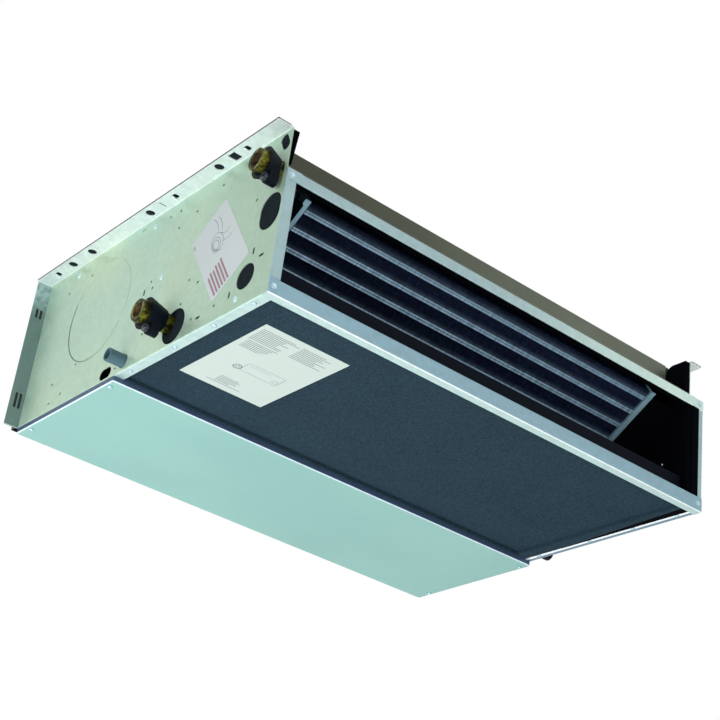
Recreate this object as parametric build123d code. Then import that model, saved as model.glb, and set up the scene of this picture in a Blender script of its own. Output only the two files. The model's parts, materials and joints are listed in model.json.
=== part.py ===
from build123d import *
import math
import os

# Ceiling fan coil unit, horizontal, without outer cabinet.
# While modelling, X runs along the discharge slot with the middle of the casing at 0, Y runs from the
# discharge face (0) towards the intake, and Z runs up from the bottom edge of the side panels (0).
# At export every piece is moved so that the origin is the middle of the four ceiling holes.

# Sheet metal of the casing
sheet = 1.0
bend = 1.6
casing_width = 682.0
casing_depth = 544.0
casing_height = 215.0
ceiling_flange = 22.0
rear_flange = 20.0
left_flange = 14.0
right_flange = 18.0
flange_corner = 4.0
ear_setback_left = 3.0
ear_setback_right = 8.0
seam = 0.2

# Ceiling holes and slots in the ceiling flanges
hanger_hole = 12.0
hanger_inset = 11.0
hanger_first = 132.0
hanger_spacing = 335.0
spare_hanger_inner = 280.0
spare_hanger_outer = 419.0
square_hole = 12.5
square_hole_place = 100.0
flange_slot_place = 252.0
flange_slot_length = 12.0
flange_slot_width = 2.0
lance_places = (76.5, 225.0)
lance_rear_inset = 38.0
lance_width = 8.0
lance_length = 10.0
tape_thick = 1.5
tape_margin = 0.3

# Openings in the side panels, as places (Y, Z) on the panel. Places that lie near the top are given as
# (Y, distance below the top), so that they stay with the top edge.
hand_hole = (22.5, 110.5)
hand_hole_length = 47.0
hand_hole_width = 37.0
round_hole = (50.0, 37.5)
round_hole_radius = 16.0
ear_slot_place = (14.5, 15.5)
ear_slot_length = 24.0
ear_slot_width = 13.0
ear_slot_angle = 62.0
tray_hole = (330.0, 10.0)
tray_hole_length = 26.0
tray_hole_width = 15.0
cut_back_shift = (-13.0, -7.2)
cut_back_radius = 22.5
cable_hole_radius = 10.0
knock_out = (384.0, 120.0)
knock_out_radius = 71.5
knock_out_groove = 2.0
knock_out_depth = 0.45
knock_out_bridge = 8.0
knock_out_turn = 28.0
small_hole = 1.8
small_slot_length = 9.0
small_slot_width = 3.4
top_small_holes = [(246, 16), (223, 17), (183, 35), (220, 43), (133, 20), (426, 29), (482, 35)]
left_small_holes = [
    (54, 139), (262, 113), (256, 102), (171, 80), (150, 69), (180, 51), (150, 20), (105, 21), (258, 39),
    (417, 52), (470, 40), (441, 18), (468, 12), (308, 10)]
top_small_slots = [(308, 9)]
left_small_slots = [(42, 67, 90), (25, 55, 0), (77, 24, 90), (274, 102, 90), (136, 17, 0)]
top_dimples = [(281, 15), (465, 14)]
left_dimples = [(239, 110), (62, 13)]
dimple_radius = 4.0
dimple_height = 0.9
dimple_taper = 30.0
right_small_holes = [(54, 139), (150, 20), (417, 30)]
rear_slots = ((167.0, 14.0), (37.0, 22.0))
rear_slot_lines = (6.0, 12.0)
rear_slot_width = 4.0

# Top panel
top_edge = 15.0
top_slot_places = (150.0, 300.0, 450.0)
top_slot_length = 30.0
top_slot_width = 4.0

# Discharge frame
rail_upper_drop = 70.0
rail_upper_height = 14.0
rail_lower_height = 19.0
rail_lip = 9.0
rail_lower_return = 12.0
riser_place = 43.5
riser_foot_drop = 21.0
riser_bend = 3.0
riser_foot_gap = 0.2

# Foam linings
lining = 8.0
lining_end = 303.5
lining_front = 3.0
ear_front_low = 14.0
cheek_left = (12.0, 3.0)
cheek_right = (8.5, 8.5)
ear_top_gap = 3.0
ear_corner = 12.0
glue = 0.3

# Bottom: drain pan, its insulation, the service cover
cover_front = 306.5
cover_drop = 7.5
cover_corner = 3.0
cover_foam = 5.0
cover_screw_inset_x = 6.0
cover_screw_front = 15.5
cover_screw_rear = 30.0
cover_post = 4.5
pan_front = 13.5
pan_rear = 304.0
pan_floor = 10.0
pan_wall_front = 43.0
pan_wall_side = 20.0
pan_wall_rear = 42.0
pan_front_step = 5.0
pan_front_slope = 28.0
pan_rear_slope = 60.0
pan_rear_step = 20.0
pan_foam_bottom = 4.0
sump_length = 46.0
sump_depth = 28.0
sump_drop = 5.6
drain_outer = 8.5
drain_step = 0.4
drain_inner = 6.5
drain_gap = 0.5
drain_place = 291.0
drain_reach_left = 22.0
drain_outer_right = 8.0
drain_reach_right = 36.0
drain_cap_length = 14.0
drain_cap_wall = 1.6
drain_cap_fit = 0.05
cover_foam_margin = 16.0
cover_screw_head = 3.0
bottom_screw_head = 2.8
bottom_screw_high = 1.6
bottom_screw_ys = (33.0, 108.0, 186.0, 281.0)
pan_side_gap = 0.5

# Coil
coil_foot = 33.46
coil_y = 19.0
coil_drop = 59.0
coil_start = 10.0
coil_side_space = 43.7
tube_pitch = 25.0
tubes_per_row = 9
row_pitch = 22.0
rows = 2
fin_ridge = 1.6
fin_ridge_width = 7.0
plate_lip = 8.0
plate_gap = 1.0
tube_outer = 5.0
bend_reach = 8.0
header_outer = 7.4
header_depth = 6.7
header_gap = 27.0
header_start = -2.0
header_split = 30.0
header_over = 2.5
header_stubs = 4
seal_thick = 6.0
seal_gap = 1.1
seal_end_clear = 32.0
port_pipe_radius = 6.9
port_bend_radius = 8.0
port_straight = 6.0
supply_port_shift = (-11.35, -7.4)

# Water connections
return_reach = 30.0
supply_reach = 42.0
fitting_outer = 14.0
fitting_pipe = 12.0
thread_inner = 9.3
thread_length = 16.0
mouth_length = 4.0
hex_across = 27.0
hex_turn = 15.0
sleeve_outer = 20.0
sleeve_end = 14.0
return_sleeve_start = 5.0
return_sleeve_length = 16.0
supply_sleeve_start = 8.5
supply_sleeve_length = 23.5
sleeve_clearance = 0.3
pipe_hole_clearance = 0.8
valve_offset = (-6.0, -20.5)
valve_ear = 7.0
valve_ear_back = 4.0
valve_ear_length = 12.0
knob_room = 0.6
knob_gap = 0.3
knob_outer = 5.2
knob_length = 4.5
knob_stem = 2.6
knob_stem_depth = 9.0
knob_flutes = 10
stem_clearance = 0.08

# Fan section
deck_place = 306.0
deck_flange = 12.0
fan_axis_y = 432.0
fan_bottom_gap = 18.0
fan_top_gap = 13.0
fan_width = 176.0
fan_centre = 186.0
scroll_growth = 18.0
scroll_sheet = 1.0
tongue_height = 12.0
inlet_ring = 5.0
wheel_gap = 8.0
blade_depth = 12.0
blade_rake = 8.4
wheel_width = 156.0
wheel_disc = 3.0
wheel_ring = 4.0
blade_count = 26
blade_thick = 1.4
hub_outer = 13.0
hub_length = 24.0
shaft_radius = 6.0
shaft_end_gap = 12.0
bearing_outer = 14.0
bearing_length = 9.0
bearing_clearance = 0.05
motor_radius = 46.0
motor_length = 96.0
motor_end_radius = 30.0
motor_end_length = 16.0
cradle_sheet = 2.0
cradle_width = 26.0
mount_thick = 4.0
strap_sheet = 1.6
strap_foot = 9.0
strap_width = 6.8

# Electric box on the right side
box_front = 190.0
box_length = 170.0
box_bottom = 70.0
box_height = 100.0
box_depth = 40.0
box_sheet = 1.2
box_lip = 8.0
gland_outer = 10.0
gland_inner = 6.0
gland_length = 16.0
terminal_length = 72.0
terminal_height = 22.0
terminal_depth = 18.0
terminal_ways = 8
terminal_place = (62.0, 22.0)
capacitor_place = 66.0
box_gap = 0.1
lid_turn = 9.0
lid_sheet = 1.2
lid_clearance = 0.2
gland_first = 40.0
gland_spacing = 40.0
gland_inset = 18.0
electric_screw_inset = (4.5, 6.0)
capacitor_radius = 15.0
capacitor_length = 60.0

# Filter behind the intake
filter_thick = 10.0
filter_rim = 12.0
filter_side_gap = 0.5
filter_run = 0.3
filter_half_over = 2.0
guide_leg = 12.0
guide_base = 16.0
media_ribs = 26
media_core = 2.0

# Fasteners
screw_head = 4.0
screw_head_high = 2.2
screw_shank = 2.0
screw_bite = 5.0
screw_play = 0.05
flush_head = 3.8
flush_head_high = 1.6

left_face = -casing_width / 2
right_face = casing_width / 2
frame_right = right_face + right_flange
lining_left = left_face + sheet + glue
lining_right = right_face - sheet - glue
inner_left = lining_left + lining
inner_right = lining_right - lining
hanger_last = hanger_first + hanger_spacing
origin_y = (hanger_first + hanger_last) / 2
coil_height = tube_pitch * tubes_per_row
coil_thick = row_pitch * rows
coil_half = inner_right - coil_side_space
first_tube = coil_start + tube_pitch / 2
last_tube = first_tube + tube_pitch * (tubes_per_row - 1)
drain_z = pan_floor - sump_drop + sheet + drain_outer
pan_half_width = inner_right - glue - pan_side_gap
cable_hole = (box_front + 30, box_bottom + box_height / 2)
rail_upper_bottom = casing_height - rail_upper_drop
rail_upper_top = rail_upper_bottom + rail_upper_height
riser_foot = casing_height - riser_foot_drop
coil_z = casing_height - coil_drop
sin_tilt = (coil_z - coil_foot) / coil_height
cos_tilt = math.sqrt(1 - sin_tilt ** 2)
ear_slot = (ear_slot_place[0], casing_height - ear_slot_place[1])
scroll_end = (casing_height - fan_bottom_gap - fan_top_gap + scroll_growth * 2 / 3) / 2
scroll_start = scroll_end - scroll_growth
fan_axis_z = casing_height - fan_top_gap - scroll_end
wheel_outer = scroll_start - wheel_gap
wheel_inner = wheel_outer - blade_depth
inlet_radius = wheel_inner


def box(x0, x1, y0, y1, z0, z1):
    """A block given by its two corners."""
    block = Box(x1 - x0, y1 - y0, z1 - z0)
    return block.moved(Location(((x0 + x1) / 2, (y0 + y1) / 2, (z0 + z1) / 2)))


def along_x(sketch, x0, x1):
    """Extrude a sketch drawn in (Y, Z) from x0 to x1."""
    plane = Plane(origin=(x0, 0, 0), x_dir=(0, 1, 0), z_dir=(1, 0, 0))
    return extrude(plane * sketch, amount=x1 - x0)


def along_y(sketch, y0, y1):
    """Extrude a sketch drawn in (X, Z) from y0 to y1."""
    plane = Plane(origin=(0, y1, 0), x_dir=(1, 0, 0), z_dir=(0, -1, 0))
    return extrude(plane * sketch, amount=y1 - y0)


def along_z(sketch, z0, z1):
    """Extrude a sketch drawn in (X, Y) from z0 to z1."""
    return extrude(Plane(origin=(0, 0, z0)) * sketch, amount=z1 - z0)


def folded(points, radius=bend):
    """Section of a folded sheet, its middle line through the points."""
    return trace(FilletPolyline(*points, radius=radius), line_width=sheet)


def rod_x(radius, x0, x1, y, z):
    """Round bar along X."""
    return along_x(Pos(y, z) * Circle(radius), x0, x1)


def pipe_x(outer, inner, x0, x1, y, z):
    """Round tube along X."""
    return rod_x(outer, x0, x1, y, z) - rod_x(inner, x0 - 1, x1 + 1, y, z)


def coil_point(s, t):
    """Point in (Y, Z) at s along the coil's front face and t behind that face."""
    return (coil_y + s * cos_tilt + t * sin_tilt, coil_z - s * sin_tilt + t * cos_tilt)


header_end = last_tube + header_over
header_foot = coil_point(header_end, header_depth)
upper_fit = coil_point(header_start, header_depth)
lower_fit = (header_foot[0] + supply_port_shift[0], header_foot[1] + supply_port_shift[1])


def coil_plane(x):
    """Plane square to X whose first axis runs down the coil and whose second goes into it."""
    y0, z0 = coil_point(0, 0)
    return Plane(origin=(x, y0, z0), x_dir=(0, cos_tilt, -sin_tilt), z_dir=(1, 0, 0))


def coil_extrude(sketch, x0, x1):
    """Extrude a sketch drawn in (s, t) from x0 to x1."""
    return extrude(coil_plane(x0) * sketch, amount=x1 - x0)


def rounded(shape, radius, *lines):
    """Round the straight edges that pass through the given places, None standing for any value."""
    chosen = []
    for edge in shape.edges():
        middle = edge.center()
        values = (middle.X, middle.Y, middle.Z)
        for line in lines:
            if all(want is None or abs(want - got) < 0.05 for want, got in zip(line, values)):
                chosen.append(edge)
    return fillet(chosen, radius) if chosen else shape


def screw(place, direction, head=screw_head, high=screw_head_high, shank=screw_shank, bite=screw_bite):
    """Pan head screw whose head bears at the place and whose shank runs along the direction."""
    plane = Plane(origin=place, z_dir=direction)
    top = Plane(origin=plane.origin - plane.z_dir * high, z_dir=direction)
    head_solid = extrude(top * Circle(head), amount=high)
    head_solid = fillet(head_solid.edges().group_by(Axis(place, direction))[0], high * 0.6)
    return head_solid + extrude(plane * Circle(shank), amount=bite)


def flush_screw(place, direction, gap=0.0):
    """Countersunk screw level with the sheet; with a gap it is the cutter for its own seat."""
    plane = Plane(origin=place, z_dir=direction)
    seat = (Align.CENTER, Align.CENTER, Align.MIN)
    head = Cone(flush_head + gap, screw_shank + gap, flush_head_high, align=seat)
    shank = Cylinder(screw_shank + gap, screw_bite, align=seat)
    return plane.location * (head + shank)


def save(name, *solids):
    """Write one node, moved so that the origin is the middle of the ceiling holes."""
    move = Location((0, -origin_y, -casing_height))
    moved = [piece.moved(move) for shape in solids for piece in shape.solids()]
    whole = moved[0] if len(moved) == 1 else Compound(children=moved)
    export_step(whole, f"parts/{name}.step")


def panel_hole(face, radius, y, z):
    """Cutter for a round hole through a side panel."""
    return rod_x(radius, face - 3, face + 3, y, z)


def panel_slot(face, length, width, y, z, angle=0.0):
    """Cutter for a round-ended slot through a side panel."""
    return along_x(Pos(y, z) * Rot(0, 0, angle) * SlotOverall(length, width), face - 3, face + 3)


def flange_cutters(x):
    """Cutters for the holes of one ceiling flange, on its middle line x."""
    low = casing_height - 2 * sheet
    high = casing_height + sheet
    places = (hanger_first, spare_hanger_inner, spare_hanger_outer, hanger_last)
    cutters = [along_z(Pos(x, y) * Circle(hanger_hole / 2), low, high) for y in places]
    square = Pos(x, square_hole_place) * Rectangle(square_hole, square_hole)
    cutters.append(along_z(square, low, high))
    slot = Pos(x, flange_slot_place) * SlotOverall(flange_slot_length, flange_slot_width)
    cutters.append(along_z(slot, low, high))
    for place in (*lance_places, casing_depth - lance_rear_inset):
        lance = Pos(x, place) * RectangleRounded(lance_width, lance_length, 2)
        cutters.append(along_z(lance, low, high))
    return cutters


def knock_out_ring(face, outward):
    """Cutter for the round pre-cut groove of the fresh air knock-out, with four bridges left."""
    ring = Circle(knock_out_radius) - Circle(knock_out_radius - knock_out_groove)
    across = 2 * knock_out_radius + 10
    bridges = Rectangle(across, knock_out_bridge) + Rectangle(knock_out_bridge, across)
    sketch = Pos(*knock_out) * (ring - Rot(0, 0, knock_out_turn) * bridges)
    x0 = face - knock_out_depth if outward > 0 else face
    return along_x(sketch, x0, x0 + knock_out_depth)


def from_top(places):
    """Places (Y, Z) of the given places (Y, distance below the top)."""
    return [(y, casing_height - down) for y, down in places]


def left_panel_cutters():
    """Cutters for every opening in the left side panel."""
    cutters = flange_cutters(left_face - hanger_inset)
    for port in (upper_fit, lower_fit):
        cutters.append(panel_hole(left_face, fitting_pipe + pipe_hole_clearance, *port))
    cut_back = (lower_fit[0] + cut_back_shift[0], lower_fit[1] + cut_back_shift[1])
    cutters.append(panel_hole(left_face, cut_back_radius, *cut_back))
    cutters.append(panel_hole(left_face, drain_outer + drain_gap, drain_place, drain_z))
    cutters.append(panel_slot(left_face, hand_hole_length, hand_hole_width, *hand_hole, 90))
    cutters.append(panel_hole(left_face, round_hole_radius, *round_hole))
    cutters.append(panel_slot(left_face, ear_slot_length, ear_slot_width, *ear_slot, ear_slot_angle))
    cutters.append(panel_slot(left_face, tray_hole_length, tray_hole_width, *tray_hole))
    cutters.append(knock_out_ring(left_face, -1))
    for place in left_small_holes + from_top(top_small_holes):
        cutters.append(panel_hole(left_face, small_hole, *place))
    for place in left_small_slots + from_top(top_small_slots):
        cutters.append(panel_slot(left_face, small_slot_length, small_slot_width, *place))
    for z, length in rear_slots:
        for inset in rear_slot_lines:
            slot = Pos(left_face - inset, z) * Rot(0, 0, 90) * SlotOverall(length, rear_slot_width)
            cutters.append(along_y(slot, casing_depth - 3, casing_depth + 1))
    return cutters


def ear_cut(face, side, setback):
    """Cutter that sets the front edge of an ear and its ceiling flange back above the upper rail."""
    x0, x1 = sorted((face - side * 2 * bend, face + side * (ceiling_flange + 1)))
    return box(x0, x1, 0, setback, rail_upper_top + sheet, casing_height + 1)


def left_side_panel():
    """Connection side: web, ceiling flange and rear flange outwards, stile and bottom flange inwards."""
    web = left_face + sheet / 2
    top = casing_height - sheet / 2
    section = folded([(left_face - ceiling_flange, top), (web, top), (web, sheet / 2),
                      (left_face + left_flange, sheet / 2)])
    panel = along_y(section, sheet, casing_depth)
    panel += box(left_face, left_face + left_flange, sheet, 2 * sheet, 0, rail_upper_top)
    panel += box(left_face - rear_flange, left_face, casing_depth - sheet, casing_depth, 0, casing_height)
    panel -= ear_cut(left_face, -1, ear_setback_left)
    panel = rounded(panel, flange_corner, (left_face - ceiling_flange, ear_setback_left, top))
    for cutter in left_panel_cutters():
        panel -= cutter
    for y, z in left_dimples + from_top(top_dimples):
        base = Plane(origin=(left_face, y, z), z_dir=(-1, 0, 0))
        panel += base * extrude(Circle(dimple_radius), amount=dimple_height, taper=dimple_taper)
    return panel


def right_side_panel():
    """Electrical side: all four flanges turn outwards."""
    web = right_face - sheet / 2
    top = casing_height - sheet / 2
    section = folded([(right_face + ceiling_flange, top), (web, top), (web, sheet / 2),
                      (frame_right, sheet / 2)])
    panel = along_y(section, sheet, casing_depth)
    panel += box(right_face, frame_right, sheet, 2 * sheet, 0, rail_upper_top)
    panel += box(right_face, right_face + rear_flange, casing_depth - sheet, casing_depth, 0, casing_height)
    panel -= ear_cut(right_face, 1, ear_setback_right)
    panel = rounded(panel, flange_corner, (right_face + ceiling_flange, ear_setback_right, top))
    cutters = flange_cutters(right_face + hanger_inset)
    cutters.append(panel_hole(right_face, drain_outer_right + drain_gap, drain_place, drain_z))
    ear_hole = (ear_slot[0] + ear_setback_right - ear_setback_left, ear_slot[1])
    cutters.append(panel_slot(right_face, ear_slot_length, ear_slot_width, *ear_hole, ear_slot_angle))
    cutters.append(panel_hole(right_face, cable_hole_radius, *cable_hole))
    for place in right_small_holes + from_top(top_small_holes):
        cutters.append(panel_hole(right_face, small_hole, *place))
    cutters.append(knock_out_ring(right_face, 1))
    for cutter in cutters:
        panel -= cutter
    return panel


def ceiling_tape(side):
    """Thin black foam tape on top of one ceiling flange, pierced only for the hanging bolts."""
    edges = (right_face + bend + sheet + tape_margin, right_face + ceiling_flange - tape_margin)
    x0, x1 = sorted(side * x for x in edges)
    front = (ear_setback_left if side < 0 else ear_setback_right) + tape_margin
    tape = box(x0, x1, front, casing_depth - tape_margin, casing_height, casing_height + tape_thick)
    for y in (hanger_first, hanger_last):
        hole = Pos(side * (right_face + hanger_inset), y) * Circle(hanger_hole / 2)
        tape -= along_z(hole, casing_height - 1, casing_height + tape_thick + 1)
    return tape


def top_panel():
    """Flat top sheet with turned-down edges at the sides and at the rear."""
    x = casing_width / 2 - sheet - seam
    y0 = riser_place + sheet / 2 + seam
    y1 = casing_depth - sheet - seam
    low = casing_height - top_edge
    shell = box(-x, x, y0, y1, low, casing_height)
    shell = rounded(shell, bend, (x, None, casing_height), (-x, None, casing_height),
                    (None, y1, casing_height))
    inside = box(-x + sheet, x - sheet, y0 - 1, y1 - sheet, low - 1, casing_height - sheet)
    shell -= inside
    for y in top_slot_places:
        shell -= along_z(Pos(0, y) * SlotOverall(top_slot_length, top_slot_width), low, casing_height + 1)
    return shell


def front_riser():
    """Hood sheet behind the upper rail: a slope and then a riser up to the ceiling."""
    foot = (sheet * 1.5 + riser_foot_gap, rail_upper_top + sheet / 2 + riser_foot_gap)
    section = folded([foot, (riser_place, riser_foot), (riser_place, casing_height)], riser_bend)
    return along_x(section, inner_left + glue, inner_right - glue)


def upper_rail():
    """Channel across the top of the discharge opening."""
    low = rail_upper_bottom + sheet / 2
    high = rail_upper_top - sheet / 2
    front = sheet / 2
    section = folded([(rail_lip, low), (front, low), (front, high), (rail_lip, high)], 1.0)
    rail = along_x(section, left_face + 2 * sheet, frame_right)
    rail += box(left_face, left_face + 20, 0, sheet, rail_upper_bottom, rail_upper_top)
    notch = box(left_face - 1, left_face + left_flange + 0.2, sheet, rail_lip + 1, 0, casing_height)
    rail -= notch
    notch = box(inner_right - glue, frame_right + 1, sheet, rail_lip + 1, 0, casing_height)
    return rail - notch


def lower_rail():
    """Channel across the bottom of the discharge opening, wrapped under the side panels."""
    low = -sheet / 2
    high = rail_lower_height - sheet / 2
    front = sheet / 2
    section = folded([(rail_lip, high), (front, high), (front, low), (rail_lower_return, low)], 1.0)
    rail = along_x(section, left_face, frame_right)
    rail -= box(left_face - 1, left_face + left_flange + 0.2, sheet, rail_lip + 2, 0, casing_height)
    return rail - box(inner_right - glue, frame_right + 1, sheet, rail_lip + 2, 0, casing_height)


def side_lining(x0, x1, cheek):
    """Black foam sheet on a side panel, with the cheek that fills the front ear."""
    ear_top = casing_height - ear_top_gap
    under_top = casing_height - top_edge - glue
    low = sheet + screw_bite
    notch = rail_upper_top + 2
    outline = Polyline(
        (lining_front, rail_lower_height + 2), (lining_front, rail_upper_bottom - 1),
        (ear_front_low, rail_upper_bottom - 1), (ear_front_low, notch), (cheek[0], notch),
        (cheek[1], ear_top),
        (riser_place - 2, ear_top), (riser_place - 2, under_top), (lining_end, under_top),
        (lining_end, low), (ear_front_low, low), (ear_front_low, rail_lower_height + 2), close=True)
    sketch = make_face(outline)
    corner = sketch.vertices().sort_by_distance((riser_place - 2, ear_top, 0))[0]
    sketch = fillet(corner, ear_corner)
    return along_x(sketch, x0, x1)


def cut_for_services(foam):
    """Clear the water connections and the drain spigot out of the left lining."""
    for port in (upper_fit, lower_fit):
        foam -= rod_x(fitting_pipe + 1, left_face, inner_left + 1, *port)
    return cut_for_drain(foam, left_face, inner_left + 1)


def cut_for_drain(foam, x0, x1):
    """Clear the drain spigot out of a lining."""
    return foam - rod_x(drain_outer + drain_gap, x0, x1, drain_place, drain_z)


def top_lining():
    """Foam sheet under the top panel."""
    top = casing_height - sheet - glue
    return box(inner_left + glue, inner_right - glue, riser_place + sheet + glue, lining_end,
               top - lining, top)


def service_cover():
    """Shallow tray that closes the fan section from below."""
    shell = box(left_face, frame_right, cover_front, casing_depth, -cover_drop, -seam)
    corners = [(x, y, None) for x in (left_face, frame_right) for y in (cover_front, casing_depth)]
    shell = rounded(shell, cover_corner, *corners)
    shell = rounded(shell, bend, (None, cover_front, -cover_drop), (None, casing_depth, -cover_drop),
                    (left_face, None, -cover_drop), (frame_right, None, -cover_drop))
    inside = box(left_face + sheet, frame_right - sheet, cover_front + sheet, casing_depth - sheet,
                 -cover_drop + sheet, 1)
    shell -= inside
    for x, y in cover_screw_places():
        shell += along_z(Pos(x, y) * Circle(cover_post), -cover_drop + sheet / 2, -seam)
        shell -= along_z(Pos(x, y) * Circle(screw_shank + 0.3), -cover_drop - 1, 1)
    return shell


def cover_screw_places():
    """The four screws that hold the service cover."""
    xs = (left_face + cover_screw_inset_x, frame_right - cover_screw_inset_x)
    ys = (cover_front + cover_screw_front, casing_depth - cover_screw_rear)
    return [(x, y) for x in xs for y in ys]


def cover_lining():
    """Foam glued into the service cover."""
    low = -cover_drop + sheet + glue
    x0 = left_face + cover_foam_margin
    x1 = right_face - cover_foam_margin + 4
    return box(x0, x1, cover_front + 6, casing_depth - 8, low, low + cover_foam)


def bottom_screw_places():
    """Screws along the two bottom flanges, in front of the service cover."""
    left_x = left_face + left_flange / 2
    right_x = right_face + right_flange / 2
    return [(x, y) for x in (left_x, right_x) for y in bottom_screw_ys]


def drain_pan():
    """Folded pan under the coil with a sump at each rear corner."""
    x = pan_half_width
    high = max(pan_wall_front, pan_wall_rear)
    outer = box(-x, x, pan_front, pan_rear, pan_floor, high)
    inner = box(-x + sheet, x - sheet, pan_front + sheet, pan_rear - sheet,
                pan_floor + sheet, high + 1)
    sump_y0 = pan_rear - sump_depth
    for side in (-1, 1):
        x0, x1 = sorted((side * x, side * (x - sump_length)))
        outer += box(x0, x1, sump_y0, pan_rear, pan_floor - sump_drop, pan_floor + sheet)
        inner += box(x0 + sheet, x1 - sheet, sump_y0 + sheet, pan_rear - sheet,
                     pan_floor - sump_drop + sheet, pan_floor + 2 * sheet)
    above = make_face(Polyline(
        (pan_front - 1, high + 2), (pan_front - 1, pan_wall_front),
        (pan_front + pan_front_step, pan_wall_front), (pan_front + pan_front_slope, pan_wall_side),
        (pan_rear - pan_rear_slope, pan_wall_side), (pan_rear - pan_rear_step, pan_wall_rear),
        (pan_rear + 1, pan_wall_rear), (pan_rear + 1, high + 2), close=True))
    pan = outer - inner - along_x(above, -x - 1, x + 1)
    for side in (-1, 1):
        x0, x1 = sorted((side * (x - 5), side * (x + 5)))
        pan -= rod_x(drain_inner, x0, x1, drain_place, drain_z)
    return pan


def pan_insulation():
    """Dark foam bonded under the drain pan, cut back around the two sumps."""
    x = pan_half_width
    top = pan_floor - glue
    foam = box(-x, x, pan_front, pan_rear, pan_foam_bottom, top)
    for side in (-1, 1):
        x0, x1 = sorted((side * (x + 1), side * (x - sump_length - glue)))
        foam -= box(x0, x1, pan_rear - sump_depth - glue, pan_rear + 1, pan_floor - sump_drop - glue, top + 1)
    return foam


def drain_spigot(side, reach, outer):
    """Spigot from a sump wall through the side panel, a little thinner inside than where the hose sits."""
    x1 = right_face + reach
    tube = rod_x(outer, right_face, x1, drain_place, drain_z)
    tube += rod_x(outer - drain_step, pan_half_width, right_face + 1, drain_place, drain_z)
    tube -= rod_x(drain_inner, pan_half_width - 1, x1 + 1, drain_place, drain_z)
    return tube.mirror(Plane.YZ) if side < 0 else tube


def drain_cap():
    """Blind cap pushed over the unused right spigot."""
    end = right_face + drain_reach_right
    bore = drain_outer_right + drain_cap_fit
    cap = rod_x(bore + drain_cap_wall, end - drain_cap_length + 0.5, end + 2, drain_place, drain_z)
    cap = fillet(cap.edges().sort_by(Axis.X)[-1], 1.2)
    return cap - rod_x(bore, end - drain_cap_length, end, drain_place, drain_z)


def coil_fins():
    """Fin pack as one block; the fin edges rise in a ridge over each tube, on both faces."""
    block = Pos(coil_start + coil_height / 2, coil_thick / 2) * Rectangle(coil_height, coil_thick)
    inset = fin_ridge
    sketch = block
    for k in range(tubes_per_row):
        s0 = coil_start + k * tube_pitch
        half = (tube_pitch - fin_ridge_width) / 2
        for t in (0, coil_thick):
            for middle in (s0 + half / 2, s0 + tube_pitch - half / 2):
                sketch -= Pos(middle, t) * Rectangle(half, 2 * inset)
    half_x = coil_half - plate_gap - sheet
    return coil_extrude(sketch, -half_x, half_x)


def tube_places():
    """Centres of the tubes in (s, t)."""
    return [(first_tube + k * tube_pitch, (r + 0.5) * row_pitch) for r in range(rows)
            for k in range(tubes_per_row)]


def end_plate(side):
    """Tube plate of the coil with turned-out lips along its front and back faces."""
    x0 = coil_half - sheet
    margin = 4.0
    width = coil_height + margin
    face = Pos(coil_start + coil_height / 2, coil_thick / 2) * Rectangle(width, coil_thick)
    plate = coil_extrude(face, x0, x0 + sheet)
    middle = coil_start + coil_height / 2
    for t in (sheet / 2, coil_thick - sheet / 2):
        lip = Pos(middle, t) * Rectangle(width, sheet)
        plate += coil_extrude(lip, x0, x0 + plate_lip)
    for s, t in tube_places():
        plate -= coil_extrude(Pos(s, t) * Circle(tube_outer), x0 - 1, x0 + 2 * sheet)
    if side < 0:
        plate = plate.mirror(Plane.YZ)
    return plate


def return_bends():
    """U-bends on the right end, each joining two neighbouring tubes of a row."""
    bends = []
    for row in range(rows):
        t = (row + 0.5) * row_pitch
        for k in range(row, tubes_per_row - 1 + row, 2):
            if k + 1 >= tubes_per_row:
                continue
            bends.append(u_bend(first_tube + k * tube_pitch, t))
    return bends


def u_bend(s, t):
    """One U-bend from the tube at s to the next one down the coil."""
    y0, z0 = coil_point(s, t)
    y1, z1 = coil_point(s + tube_pitch, t)
    start = coil_half - sheet - plate_gap
    reach = coil_half + bend_reach
    first = Vector(start, y0, z0)
    second = Vector(reach, y0, z0)
    third = Vector(reach + tube_pitch / 2, (y0 + y1) / 2, (z0 + z1) / 2)
    fourth = Vector(reach, y1, z1)
    last = Vector(start, y1, z1)
    path = Wire([Edge.make_line(first, second),
                 Edge.make_three_point_arc(second, third, fourth), Edge.make_line(fourth, last)])
    radius = tube_outer - 0.3
    return sweep(Plane(origin=first, z_dir=(1, 0, 0)) * Circle(radius), path=path)


def header_x():
    """Place along X of the two headers."""
    return -coil_half - header_gap


def port_pipe(start, end):
    """Pipe from a header out to its connection, with a double bend where the two aren't in line."""
    x0 = header_x()
    x1 = left_face + 3
    if math.dist(start, end) < 0.01:
        return rod_x(port_pipe_radius, x1, x0, *end)
    path = FilletPolyline((x0, *start), (x0 - port_straight, *start), (x1 + port_straight, *end),
                          (x1, *end), radius=port_bend_radius)
    return sweep(Plane(origin=(x0, *start), z_dir=(-1, 0, 0)) * Circle(port_pipe_radius), path=path)


def header(s0, s1, fit_s, port, stubs):
    """Header pipe down the coil's left end with its tube stubs and the pipe to the fitting."""
    y0, z0 = coil_point(s0, header_depth)
    direction = Vector(0, cos_tilt, -sin_tilt)
    plane = Plane(origin=(header_x(), y0, z0), z_dir=direction)
    pipe = extrude(plane * Circle(header_outer), amount=s1 - s0)
    end = -coil_half + sheet + plate_gap
    for s in stubs:
        y, z = coil_point(s, row_pitch / 2)
        pipe += rod_x(tube_outer - 0.3, header_x(), end, y, z)
    return pipe + port_pipe(coil_point(fit_s, header_depth), port)


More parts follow.
